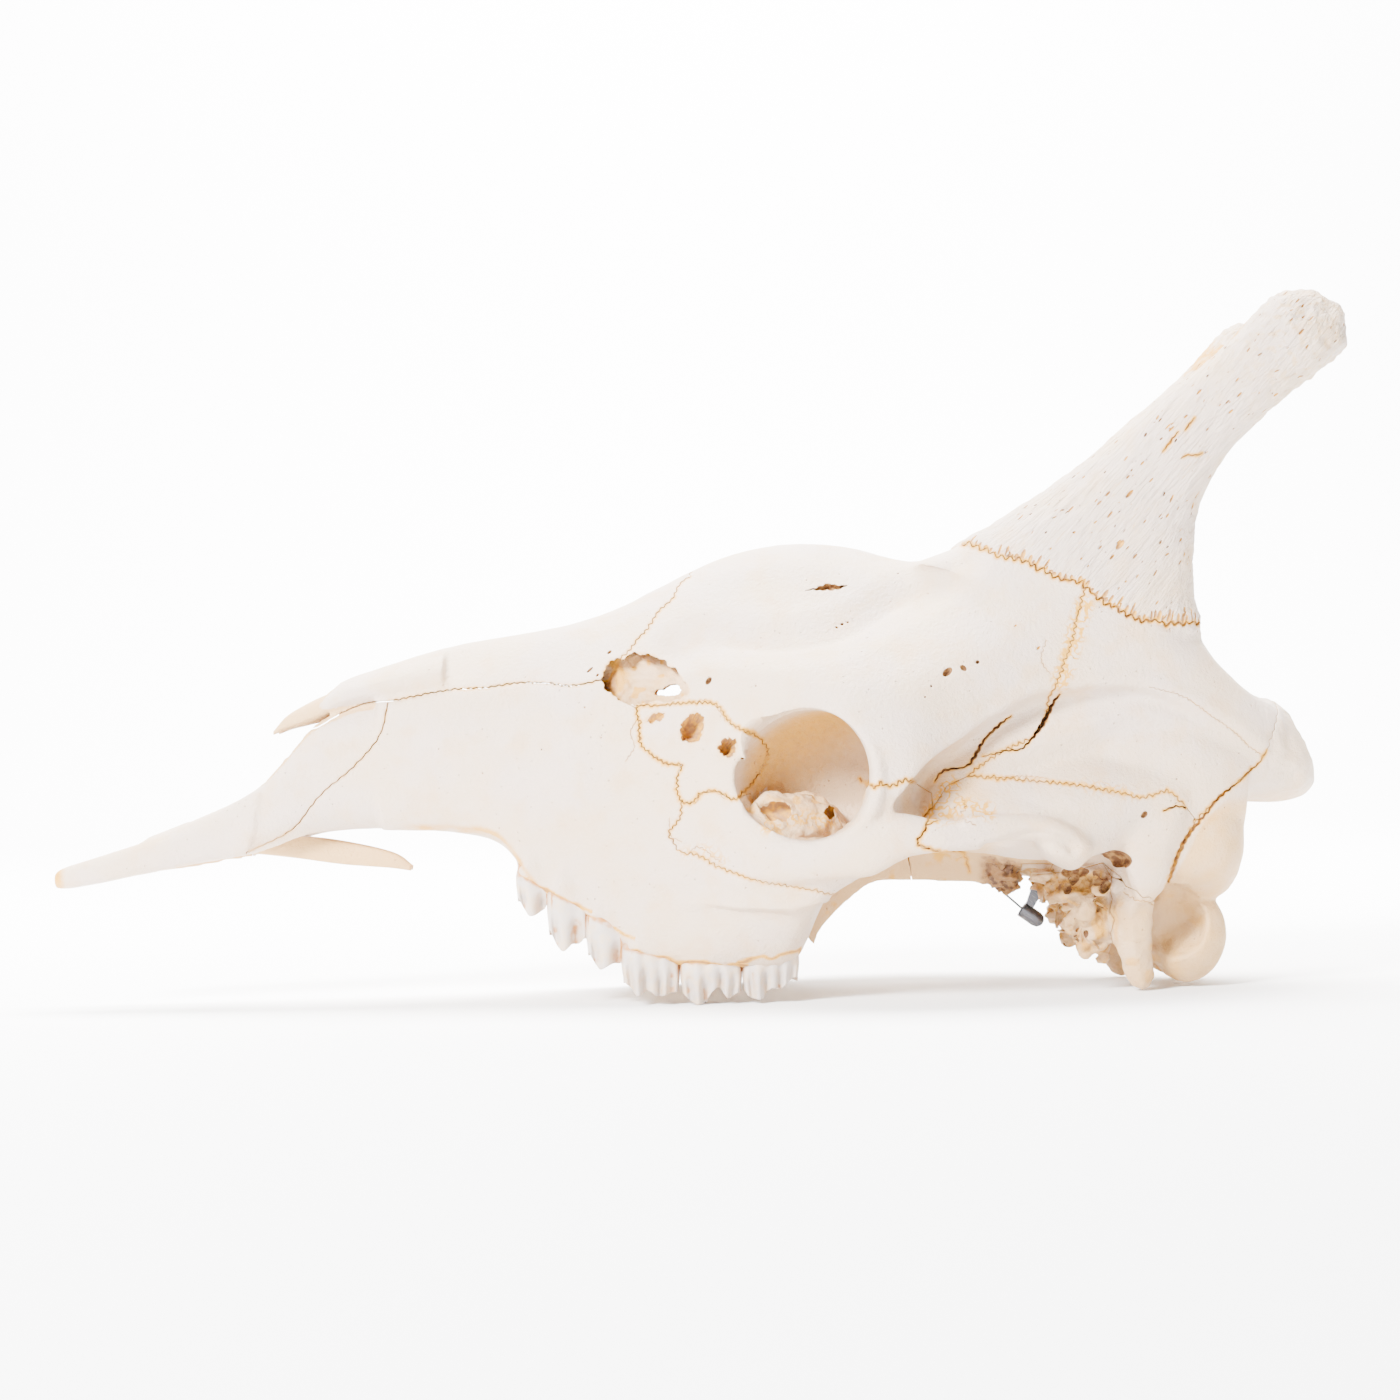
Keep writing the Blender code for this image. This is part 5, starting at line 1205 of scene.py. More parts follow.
class Graph:
    """The nodes of one material."""

    def __init__(self, name):
        self.material = bpy.data.materials.new(name)
        self.material.use_nodes = True
        self.tree = self.material.node_tree
        self.shader = self.tree.nodes["Principled BSDF"]
        self.place = self.node("ShaderNodeTexCoord", output="Object")

    def node(self, kind, settings=None, inputs=(), output=0):
        """Adds a node: its settings first, then the values or links of its sockets."""
        made = self.tree.nodes.new(kind)
        for key, value in (settings or {}).items():
            setattr(made, key, value)
        for key, value in inputs.items() if isinstance(inputs, dict) else enumerate(inputs):
            self.feed(made.inputs[key], value)
        return Value(self, made.outputs[output])

    def feed(self, socket, value):
        """Links a value of the graph to a socket, or sets the socket to a plain one."""
        if isinstance(value, Value):
            self.tree.links.new(value.socket, socket)
        elif socket.type == "RGBA":
            socket.default_value = (*value, 1)
        else:
            socket.default_value = value

    def attribute(self, name):
        return self.node("ShaderNodeAttribute", {"attribute_name": name}, output="Fac")

    def stretched(self, scale, lean):
        """The place on the piece, turned back by lean about Y and then divided by scale."""
        return self.node("ShaderNodeMapping", {"vector_type": "TEXTURE"},
                         {"Vector": self.place, "Rotation": (0, math.radians(lean), 0), "Scale": scale})

    def noise(self, size, detail=3.0, place=None):
        """Noise whose patches are about size metres wide."""
        return self.node("ShaderNodeTexNoise", {}, {"Vector": place or self.place, "Scale": 1 / size,
                                                    "Detail": detail})

    def cells(self, size):
        """Distance in a pattern of cells about size metres wide."""
        return self.node("ShaderNodeTexVoronoi", {}, {"Vector": self.place, "Scale": 1 / size},
                         output="Distance")

    def mix(self, first, second, share):
        return self.node("ShaderNodeMix", {"data_type": "RGBA"}, {0: share, 6: first, 7: second}, output=2)

    def bump(self, height, distance, strength):
        return self.node("ShaderNodeBump", {}, {"Height": height, "Distance": distance,
                                                "Strength": strength})

    def finish(self, colour, roughness, normal=None, **fixed):
        """Feeds the shader; fixed values go on its own sockets."""
        self.feed(self.shader.inputs["Base Color"], colour)
        self.feed(self.shader.inputs["Roughness"], roughness)
        if normal:
            self.feed(self.shader.inputs["Normal"], normal)
        for key, value in fixed.items():
            self.feed(self.shader.inputs[key.replace("_", " ")], value)
        return self.material


def colour_of(name):
    return tuple(getattr(colours(), name))


def bone_material(horn=False):
    """Dry bone: two pale tones in patches, cream in hollows that is partly painted shade, amber by the
    sutures, fine pores. The stain and rough marks also carry painted shade, drawn in amber and spongy
    brown.
    """
    g = Graph("dry horn bone" if horn else "dry bone")
    stain, warm, rough, lace = (g.attribute(name) for name in ("stain", "warm", "rough", "lace"))
    patches = g.noise(0.045, 4.0).rise(0.38, 0.62)
    colour = g.mix(colour_of("bone"), colour_of("pink"), patches)
    mottle = g.noise(0.016, 5.0).rise(0.48, 0.70)
    colour = g.mix(colour, colour_of("cream"), mottle * 0.30)
    # Cream where the warm mark is set, which in the eye socket and the nose cavity is partly painted
    # shade.
    colour = g.mix(colour, colour_of("cream"), warm)
    streaks = g.noise(0.003)
    # The stain mark holds both real stains and painted shade; both show as amber, and the deepest as the
    # darkest stain.
    torn = (stain + (streaks - 0.5) * 0.35 * stain.rise(0.02, 0.2)).rise(0.12, 0.85)
    colour = g.mix(colour, colour_of("amber"), torn)
    colour = g.mix(colour, STAIN_HEART, stain.rise(0.84, 1.0) * 0.8)
    loops = (g.noise(0.0042, 1.0) - 0.5).math("ABSOLUTE")
    colour = g.mix(colour, colour_of("amber"), (1 - loops.rise(0.03, 0.085)) * lace)
    if horn:
        lean = g.stretched((7, 1, 1), -46.3)
        grain = g.noise(0.0015, 3.0, lean)
        lines = g.noise(0.0011, 2.0, lean).rise(0.60, 0.72) * g.noise(0.012, 2.0).rise(0.44, 0.6)
        colour = g.mix(colour, colour_of("cream"), lines * 0.5)
        spots = g.noise(0.0042).rise(0.50, 0.66) * g.attribute("tip")
        colour = g.mix(colour, TIP_SPOT, spots * 0.75)
    else:
        grain = g.noise(0.0021, 4.0)
    specks = (1 - g.cells(0.0042).rise(0.05, 0.13)) * g.noise(0.02, 2.0).rise(0.5, 0.64)
    colour = g.mix(colour, colour_of("brown"), specks * 0.35)
    worn = g.cells(0.0034) * rough
    # The rough mark holds both the spongy broken bone and painted shade; both show as spongy brown with
    # dark pits.
    colour = g.mix(colour, SPONGE, rough * 0.85)
    colour = g.mix(colour, SPONGE_PIT, (g.noise(0.004, 5.0).rise(0.46, 0.62) * rough) * 0.9)
    height = grain * (2.0 if horn else 0.6) + g.noise(0.0007, 2.0) * 0.25 - specks * 0.8 + worn * 1.8
    return g.finish(colour, g.noise(0.01, 2.0) * 0.14 + 0.5, g.bump(height, 0.0014, 0.85),
                    Subsurface_Weight=0.12, Subsurface_Radius=(0.004, 0.0024, 0.0014),
                    Subsurface_Scale=1.0)


def amber_material():
    """The walls of a suture's gap: amber with brown specks."""
    g = Graph("suture amber")
    patch = g.noise(0.003, 4.0).rise(0.35, 0.6)
    return g.finish(g.mix(colour_of("amber"), SUTURE_SPECK, patch), 0.7)


def brown_material():
    """The walls of holes, pits and cracks: brown, lighter in patches."""
    g = Graph("pit brown")
    patch = g.noise(0.004, 4.0).rise(0.4, 0.65)
    return g.finish(g.mix(colour_of("brown"), PIT_PATCH, patch), 0.8, g.bump(g.noise(0.0015), 0.0008, 0.7))


def tooth_material():
    """Enamel: cool white, ribbed, with an amber gum line and brown in the hollows between the ribs,
    partly stain and partly painted shade.
    """
    g = Graph("tooth enamel")
    stain, warm = g.attribute("stain"), g.attribute("warm")
    colour = g.mix(colour_of("enamel"), colour_of("bone"), g.noise(0.006).rise(0.4, 0.7))
    colour = g.mix(colour, colour_of("cream"), warm)
    drift = (stain + (g.noise(0.0022, 4.0) - 0.5) * 0.5 * stain.rise(0.02, 0.3)).rise(0.2, 0.8)
    colour = g.mix(colour, TOOTH_STAIN_AND_SHADE, drift)
    colour = g.mix(colour, colour_of("brown"), stain.rise(0.84, 0.97) * 0.85)
    return g.finish(colour, 0.34, g.bump(g.noise(0.0016), 0.0004, 0.5), Subsurface_Weight=0.1,
                    Subsurface_Radius=(0.003, 0.002, 0.0014), Subsurface_Scale=1.0)


def steel_material():
    """Dull dark steel with fine scratches round the cap."""
    g = Graph("dull dark steel")
    scratch = g.noise(0.0008, 4.0, g.stretched((5, 1, 1), 36))
    colour = g.mix(colour_of("steel"), SCRATCH, scratch.rise(0.5, 0.8))
    return g.finish(colour, scratch * 0.2 + 0.28, g.bump(scratch, 0.0002, 0.4), Metallic=0.85)


def finishes():
    """The three finishes that a bone's faces share, in the order of their face numbers."""
    made = [bpy.data.materials.get(name) for name in ("dry bone", "suture amber", "pit brown")]
    if None in made:
        made = [bone_material(), amber_material(), brown_material()]
    return made


def mark(mesh, name, values):
    """Stores one number per point for the materials to read."""
    found = mesh.attributes.get(name) or mesh.attributes.new(name, "FLOAT", "POINT")
    found.data.foreach_set("value", np.clip(values, 0, 1).astype(np.float32))


def marks(mesh, name, near, broad):
    """Works out the stain, warmth and roughness of each point from where it is.

    Each is the greatest of several shares, one for each place that is stained, warm or rough. Some
    shares are painted shade: in the eye socket, in the nose cavity and in the broken bone's crevices.
    """
    points = corners_of(mesh)
    x, w, z = points[:, 0], np.abs(points[:, 1]), points[:, 2]
    patch = 0.5 + 0.5 * noise(points, 7, 21)
    patch_small = 0.5 + 0.5 * noise(points, 2.6, 22)
    stain = [rise(w, 14, 20) * (near(points) * (0.5 + 0.5 * patch)
                                + 0.42 * broad(points) ** 2 * patch_small)]
    warm = []

    broken = broken_place(points)
    spongy = broken * band(x, None, (519, 524))
    # Painted shade: the broken bone is drawn stained and spongy brown in the crevices where its ragged
    # surface sinks in, on top of its own stained patches.
    crevice_shade = rise(np.abs(noise(points, 8, 8)), 0.22, 0.6)
    loose = broken - spongy
    stain.append(loose * np.maximum(0.75 * rise(noise(points, 6, 23), 0.0, 0.6), 0.9 * crevice_shade))
    warm.append(loose * (0.6 + 0.35 * patch))

    gum = through(GUM_OUTER, x)[:, 1]
    edge = band(x, (184, 200), (258, 268)) * rise(w, 15, 20)
    stain.append(edge * np.exp(-((z - gum - 1) / 3.0) ** 2) * (0.35 + 0.6 * patch))
    for (first, last), (gum_first, gum_last), (out, _), _ in TEETH:
        t = (x - first) / (last - first)
        close = (t > -0.1) & (t < 1.1) & (w > out - 9)
        drift = gum_first + (gum_last - gum_first) * t + 1.5 * noise(points, 5, 27)
        stain.append(close * np.exp(-((z - drift) / 1.3) ** 2) * (0.75 + 0.5 * patch))
    under = through([(50, 73), (90, 79), (125, 83)], x)[:, 0]
    snout = (x > 60) & (x < 125) & (w > 12)
    stain.append(snout * np.exp(-((z - under) / 2.0) ** 2) * 0.5 * patch)
    stain.append(0.8 * (1 - rise(x, 3, 9 + 3 * patch)))

    depth = socket_depth(points)
    # Painted shade: the upper front side of the eye socket, where the light from the upper left does not
    # reach, is drawn warmer, amber and spongy brown, more so the deeper it lies.
    shaded = rise(z - 112 - 0.7 * (x - 404), -25, 30)
    floor = rise(depth, 6, 12) * band(z, None, (106, 116)) * rise(w, 44, 52)
    # The cream deep in the eye socket, more on its shaded side, and in the nose cavity is partly the thin
    # bone's own cream and partly painted shade.
    warm += [rise(depth, 4, 40) * (0.45 + 0.55 * shaded), floor * (0.45 + 0.3 * patch),
             inside_ovals(points, NOSE_CAVITY, 3.0, 3.0) * 0.8]
    # Amber on the socket's shaded upper front side is painted shade; the patches on its floor are stain.
    stain += [0.62 * shaded * rise(depth, 10, 40), floor * 0.6 * rise(noise(points, 5, 29), 0.15, 0.6)]

    knob = CONDYLE
    hollow = np.linalg.norm(np.column_stack([x, w, z])
                            - (knob["hollow_x"], knob["hollow_w"], knob["hollow_z"]), axis=1)
    warm.append(0.75 * rise(x, 586, 592) * band(hollow, None, (knob["hollow"] + 0.5, knob["hollow"] + 4)))
    knuckle = rise(x, 586, 596) * band(z, None, (52, 62))
    back = z - level([(594, 56), (613, 91), (644, 119), (661, 143)], x)
    rear = rise(x, 592, 600) * band(back, None, (-3, 1)) * band(z, None, (92, 110))
    foot = rise(x, 560, 566) * band(z, None, (40, 66)) * (x < 600)
    warm += [knuckle * (0.7 + 0.3 * patch), rear * (0.6 + 0.4 * patch), foot * (0.45 + 0.45 * patch)]
    stain += [0.3 * knuckle * rise(noise(points, 10, 37), 0.0, 0.7),
              0.4 * rear * rise(noise(points, 12, 38), 0.05, 0.7),
              foot * 0.5 * rise(noise(points, 8, 34), 0.1, 0.6)]

    low_base = rise(x, 400, 430) * band(w, None, (46, 60)) * band(z, None, (84, 100))
    low_face = rise(150 - z, 0, 80) * (x > 230)
    palate = band(w, None, (30, 42)) * band(z, None, (60, 100)) * (x > 100)
    temple = band(x, (448, 456), (492, 512)) * band(w, None, (82, 92)) * band(z, None, (120, 150))
    warm += [0.5 * low_base * (0.5 + 0.5 * patch), 0.16 * low_face * (0.4 + 0.6 * patch), 0.35 * palate,
             0.75 * temple * (0.4 + 0.6 * patch)]
    if name in ("palatine", "sphenoid"):
        broken_up = noise(points, 9, 24) + 0.6 * noise(points, 4, 30) + 0.4 * noise(points, 2, 31)
        warm.append(np.full(len(points), 0.85))
        stain.append(0.75 * rise(broken_up, 0.0, 1.1))
    if name == "premaxilla":
        warm.append(0.95 * ((x > 60) & (x < 200) & (w < 11) & (z < 95)))

    up = horn_place(points)
    torn = 0.5 * noise(points, 5, 28) + 0.35 * noise(points, 2.2, 39)
    inner_tip = np.linalg.norm((points[:, (0, 2)] - (638, 345)) / (12, 14), axis=1) + torn
    stain += [0.8 * band(w + 4 * torn, None, (69, 76)) * band(inner_tip, None, (0.4, 1.1)),
              rise(up, 0.8, 1.0) * 0.3 * rise(noise(points, 9, 26), 0.1, 0.7)]
    # The spongy brown in the broken bone's crevices and in the socket's shaded depths is painted shade.
    rough = [spongy, loose * (0.16 + 0.45 * crevice_shade), 0.10 * shaded * rise(depth, 12, 44)]
    mark(mesh, "stain", np.maximum.reduce(stain))
    mark(mesh, "warm", np.maximum.reduce(warm))
    mark(mesh, "rough", np.maximum.reduce(rough))
    loops = line_map([(smooth(line), strength) for line, strength in LACE], 8.0)
    mark(mesh, "lace", rise(loops(points), 0.1, 0.6) * (w > 20))
    mark(mesh, "tip", rise(up, 0.62, 0.9))


def dress(piece, slot, *nodes):
    """Sets a finished piece on the skull's body in place of the nodes it stands for."""
    piece.data.shade_smooth()
    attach(piece, "root")
    if nodes:
        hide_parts(*nodes)


def dress_pair(left, name, slot, nodes=False):
    """Names a finished left piece, makes its twin and dresses both, with nodes in place of the
    two nodes of that name."""
    kind = "_bone" if nodes else ""
    right = twin(left, name + kind + "_right")
    left.name = name + kind + "_left"
    for piece, side in ((right, "_right"), (left, "_left")):
        dress(piece, slot, *([name + side] if nodes else []))


def tooth(number, around=132, down=34, across=16):
    """One cheek tooth on the left as a grid of rings that runs down its walls and over its crown.

    Each ring is a squarish oval, narrower at the gum. The outer face sinks between its ribs, the
    more the nearer to the crown, and the tongue side has rounded lobes. The walls end on the
    lower edge, whose cusps are given for the outer side, and from there the crown rises again
    to the valley in its middle.
    """
    (first, last), (gum_first, gum_last), (outer, inner), edge = TEETH[number]
    molar = number > 2
    c, s = circle(around, 3.4)
    t = (c + 1) / 2
    hollow = sum(depth * np.exp(-((t - at) / half) ** 2)
                 for at, half, depth in (MOLAR_HOLLOWS if molar else PREMOLAR_HOLLOWS))
    lobes = 1.6 * (1 - np.abs(np.sin(t * math.pi * (2 if molar else 1))) ** 0.7)
    away = np.clip(s, 0, 1) ** 0.6 * hollow + np.clip(-s, 0, 1) ** 0.6 * lobes
    middle, half_x = (first + last) / 2, (last - first) / 2
    half_w, mid_w = (outer - inner) / 2, (outer + inner) / 2
    x = middle + half_x * c
    outer_edge = through(edge, x)[:, 0]
    level_inner = outer_edge * 0.5 + 0.5 * (min(z for _, z in edge) + 2.5) + 1.2
    rim = np.where(s > 0, outer_edge, level_inner + 1.4 * np.abs(np.sin(t * math.pi * 2)) * molar)
    rim = np.maximum(outer_edge * rise(s, -0.5, 0.3) + rim * (1 - rise(s, -0.5, 0.3)), 0.3)
    gum = gum_first + (gum_last - gum_first) * t
    rings = []
    for v in np.linspace(0, 1, down):
        size = 0.88 + 0.12 * rise(v, 0.05, 0.42) - 0.06 * rise(v, 0.6, 1.0)
        grown = 1.5 * rise(v, 0.36, 0.8) + 0.35 * rise(v, 0.1, 0.3)
        z = gum + ROOT + (rim - gum - ROOT) * v
        rings.append(np.stack([middle + half_x * size * c, mid_w + (half_w * size - away * grown) * s, z],
                              axis=-1))
    crown = rings[-1]
    heart = np.stack([middle + half_x * 0.62 * c, mid_w + 0.4 * s, z], axis=-1)
    for q in np.linspace(0, 1, across)[1:]:
        z = crown[:, 2] + 1.5 * rise(q, 0, 0.35) * (1 - 0.5 * q) + 3.2 * rise(q, 0.1, 1.0)
        flat = crown * (1 - q) + heart * q
        rings.append(np.column_stack([flat[:, :2], np.minimum(z, crown[:, 2] + 5.2)]))
    points = np.array(rings)
    points[:, :, 2] += 0.12 * noise(points.reshape(-1, 3), 2.2, 31 + number).reshape(points.shape[:2])
    points[:, :, 2] = np.maximum(points[:, :, 2], 0.05)
    points[:, :, 1] *= -1
    return loft("tooth", points)


def tooth_marks(mesh):
    """Stain at the gum line and between the teeth, brown in the hollows between the ribs that is partly
    stain and partly painted shade, and warmth in the hollows of the crown.
    """
    points = corners_of(mesh)
    x, w, z = points[:, 0], np.abs(points[:, 1]), points[:, 2]
    stain = np.zeros(len(points))
    patch = 0.5 + 0.5 * noise(points, 2.4, 35)
    for (first, last), (gum_first, gum_last), (outer, _), _ in TEETH:
        inside = (x >= first - 0.3) & (x <= last + 0.3)
        t = np.clip((x - first) / (last - first), 0, 1)
        above = z - (gum_first + (gum_last - gum_first) * t)
        ring = rise(above, -2.2, 0.6) * (0.35 + 0.65 * patch)
        ends = rise(np.abs(t - 0.5), 0.44, 0.5) * rise(above, -14, -2) * 0.9
        low = min(gum_first, gum_last) - z
        pit = np.exp(-((t - 0.66) / 0.1) ** 2) * rise(low, 4, 8) * (outer == 58) * patch * 1.2
        valley = rise(outer - w, 5.5, 8) * rise(low, 8, 14) * 0.5
        # Brown in the hollows between the ribs: partly their stain and partly painted shade.
        sunk = sum(np.exp(-((t - at) / half) ** 2)
                   for at, half, _ in (MOLAR_HOLLOWS if first > 300 else PREMOLAR_HOLLOWS))
        sunk = sunk * 0.62 * rise(noise(points, 4, 36), -0.2, 0.5) * rise(low, 2, 7) * (w > outer - 9)
        stain = np.where(inside, np.maximum.reduce([stain, ring, ends, pit, valley, sunk]), stain)
    mark(mesh, "stain", stain)
    mark(mesh, "warm", 0.25 * patch * (stain > 0.05))


def turned(name, profile, start, heading, count=48):
    """A round form about an axis in the plane w = -start[1]: profile is (way along, radius)."""
    along = np.array((math.cos(heading), 0, math.sin(heading)))
    across = np.array((-math.sin(heading), 0, math.cos(heading)))
    c, s = circle(count)
    rim = np.outer(c, across) + np.outer(s, (0, 1, 0))
    return loft(name, [np.array(start) + way * along + radius * rim for way, radius in profile])


class SKULL_OT_bones(bpy.types.Operator):
    """Build the bones of the skull, parted at their sutures"""

    bl_idname = "skull.bones"
    bl_label = "Bones"

    def execute(self, context):
        skull = weather(whole_skull())
        carve(skull)
        bones = part_bones(skull)
        combine(bones["premaxilla"][0], [side_form(PALATE_ROD, -1, count=20)], "UNION")
        combine(bones["nasal"][0], [side_form(NASAL_TIP, -1, count=24)], "UNION")
        horn = bone_material(horn=True)
        stained = [(line[line[:, 1] < STAIN_TOP.get(name, 400)], SUTURES[name][3])
                   for name, line in LINES.items() if name != "ridge"]
        stained += [(rounded(np.array(hole, float)), 0.6) for hole in (FACE_WINDOW, *TEAR_HOLES)]
        stained += [(smooth(line), 0.9) for line, _, depth, _ in CUTS if depth != 5]
        stained += [(smooth(line), 0.45) for line, _ in FINE_LINES]
        near, broad = line_map(stained, 2.0), line_map(stained, 8.0)
        for name, (bone, paired) in bones.items():
            marks(bone.data, name, near, broad)
            if name == "horn_core":
                bone.data.materials[BONE_FACE] = horn
            slot = SLOTS.get(name, "bone")
            if paired:
                dress_pair(bone, name, slot, nodes=True)
            else:
                bone.name = name + "_bone"
                dress(bone, slot, name)
        return {"FINISHED"}


def ragged(points, reach, seed, size=3.0):
    """A broken edge: the smooth closed outline, torn out and in by noise of several sizes."""
    curve = rounded(np.asarray(points, float), 14)
    across = left_of(np.roll(curve, -1, axis=0) - np.roll(curve, 1, axis=0))
    flat = np.column_stack([curve, np.zeros(len(curve))])
    tear = noise(flat, size, seed) + 0.6 * noise(flat, size * 0.45, seed + 1) + 0.4 * noise(
        flat, size * 0.22, seed + 2)
    return curve + across * (tear * reach)[:, None]


def shards(skull, count, seed, keep, radius):
    """Thin broken plates that stand in the surface at random points where keep is true.

    Each is a flat block of nine corners at uneven distances from its middle, and its plane holds
    the surface's normal there.
    """
    places, normals = scattered(skull, count, seed, keep)
    draw = np.random.default_rng(seed + 3)
    even = np.linspace(0, 2 * math.pi, 9, endpoint=False)
    made = []
    for place, normal in zip(places, normals):
        along = np.cross(normal, draw.normal(0, 1, 3))
        along /= np.linalg.norm(along)
        across = np.cross(normal, along)
        turn = np.sort(draw.uniform(0, 2 * math.pi, 9)) * 0.3 + even * 0.7
        reach = radius * draw.uniform(0.4, 1.0, 9)
        flat = (reach * np.cos(turn))[:, None] * normal + (reach * np.sin(turn))[:, None] * along
        half = across * draw.uniform(0.35, 0.8)
        middle = place + normal * radius * 0.1
        made.append(loft("shard", [middle + flat - half, middle + flat * 0.9 + half]))
    return made


def lamella():
    """The thin plate 10 mm behind the face window, wavy, with a torn hole in it."""
    u, v = np.meshgrid(np.linspace(-1, 1, 70), np.linspace(-1, 1, 44), indexing="ij")
    x, z = (321.5 + 27 * u).ravel(), (171 + 15.5 * v).ravel()
    flat = np.column_stack([x, z, 0 * x])
    roof, brow = through(ROOF_EDGE, x), through(BROW, x)
    skin = roof[:, 0] + (brow[:, 0] - roof[:, 0]) * (roof[:, 1] - z) / (roof[:, 1] - brow[:, 1])
    w = skin - 10.5 + 2.6 * noise(flat, 9, 91) + 1.4 * noise(flat, 4, 92)
    w = w - 2.5 * (u ** 2 + v ** 2).ravel()
    sheet = np.column_stack([x, -w, z])
    grid = np.arange(u.size).reshape(u.shape)
    quads = np.stack([grid[:-1, :-1], grid[1:, :-1], grid[1:, 1:], grid[:-1, 1:]], axis=-1).reshape(-1, 4)
    rim = np.concatenate([grid[:, 0], grid[-1, 1:], grid[-2::-1, -1], grid[0, -2:0:-1]])
    after = np.roll(rim, -1)
    wall = np.stack([rim, after, after + u.size, rim + u.size], axis=-1)
    faces = quads.tolist() + (quads[:, ::-1] + u.size).tolist() + wall.tolist()
    plate = closed_mesh("lamella", np.vstack([sheet, sheet + (0, 0.9, 0)]), faces)
    return combine(plate, [prism(ragged(LAMELLA_HOLE, 0.8, 95, 2.4), -20, -OUTER, finish=AMBER_FACE)],
                   "DIFFERENCE")


def drips(skin):
    """Short stained grooves that run up the horn core from its suture, at uneven distances."""
    line = smooth(HORN_SUTURE)
    draw = np.random.default_rng(73)
    at = np.cumsum(draw.uniform(1.5, 4.0, 90)).astype(int)
    at = at[(at > 12) & (at < len(line) - 3)]
    up = left_of(np.gradient(line, axis=0)[at])
    up *= np.sign(up[:, 1:])
    length = draw.uniform(0.35, 1.0, len(at)) ** 1.5 * 4.4
    keep, places, normals = skin.under(line[at] + up * (length * 0.75 + 0.4)[:, None])
    halves = np.column_stack([length, draw.uniform(0.55, 1.3, len(at)), np.full(len(at), 1.0)])[keep]
    along = np.column_stack([up[:, 0], 0 * at, up[:, 1]])[keep]
    return pits(places, normals, along, halves, AMBER_FACE)


def scattered(skull, count, seed, keep):
    """Random points of the surface where keep is true: their places and normals."""
    points = corners_of(skull.data)
    chosen = np.random.default_rng(seed).choice(np.flatnonzero(keep(points)), count, replace=False)
    return points[chosen], normals_of(skull.data)[chosen]


def holes_at(rows, skin, depth, finish):
    """Pits at side-view places, with their long axis along the horn core."""
    x, z, length, width = np.array(rows).T
    keep, places, normals = skin.under(zip(x, z))
    halves = np.column_stack([length, width, depth * np.minimum(width, 1.0)])[keep]
    along = np.tile(UP_THE_HORN, (len(keep), 1))
    return pits(places, normals, along, halves, finish, rings=8, count=12)


def random_pits(skull, count, seed, keep, size, finish):
    """Small pits at random points, longer along the horn core than across it."""
    places, normals = scattered(skull, count, seed, keep)
    draw = np.random.default_rng(seed + 1)
    halves = draw.uniform(0.35, 1.0, (count, 1)) ** 1.6 * size * draw.uniform(0.75, 1.25, (count, 3))
    along = np.tile(UP_THE_HORN, (count, 1)) + draw.normal(0, 0.25, (count, 3))
    return pits(places, normals, along, halves, finish)


def on_left_horn(points):
    up = horn_place(points)
    return (up > 0.0) & (up < 1.02) & (points[:, 1] < -12)


def on_left_face(points):
    return (points[:, 1] < -34) & (points[:, 0] > 130) & (horn_place(points) < 0) & (points[:, 2] > 30)


def in_left_ear(points):
    return (broken_place(points) > 0.9) & (points[:, 1] < -15) & (points[:, 0] > 524)


def in_left_base(points):
    return (broken_place(points) > 0.9) & (points[:, 1] < -4) & (points[:, 0] < 520)


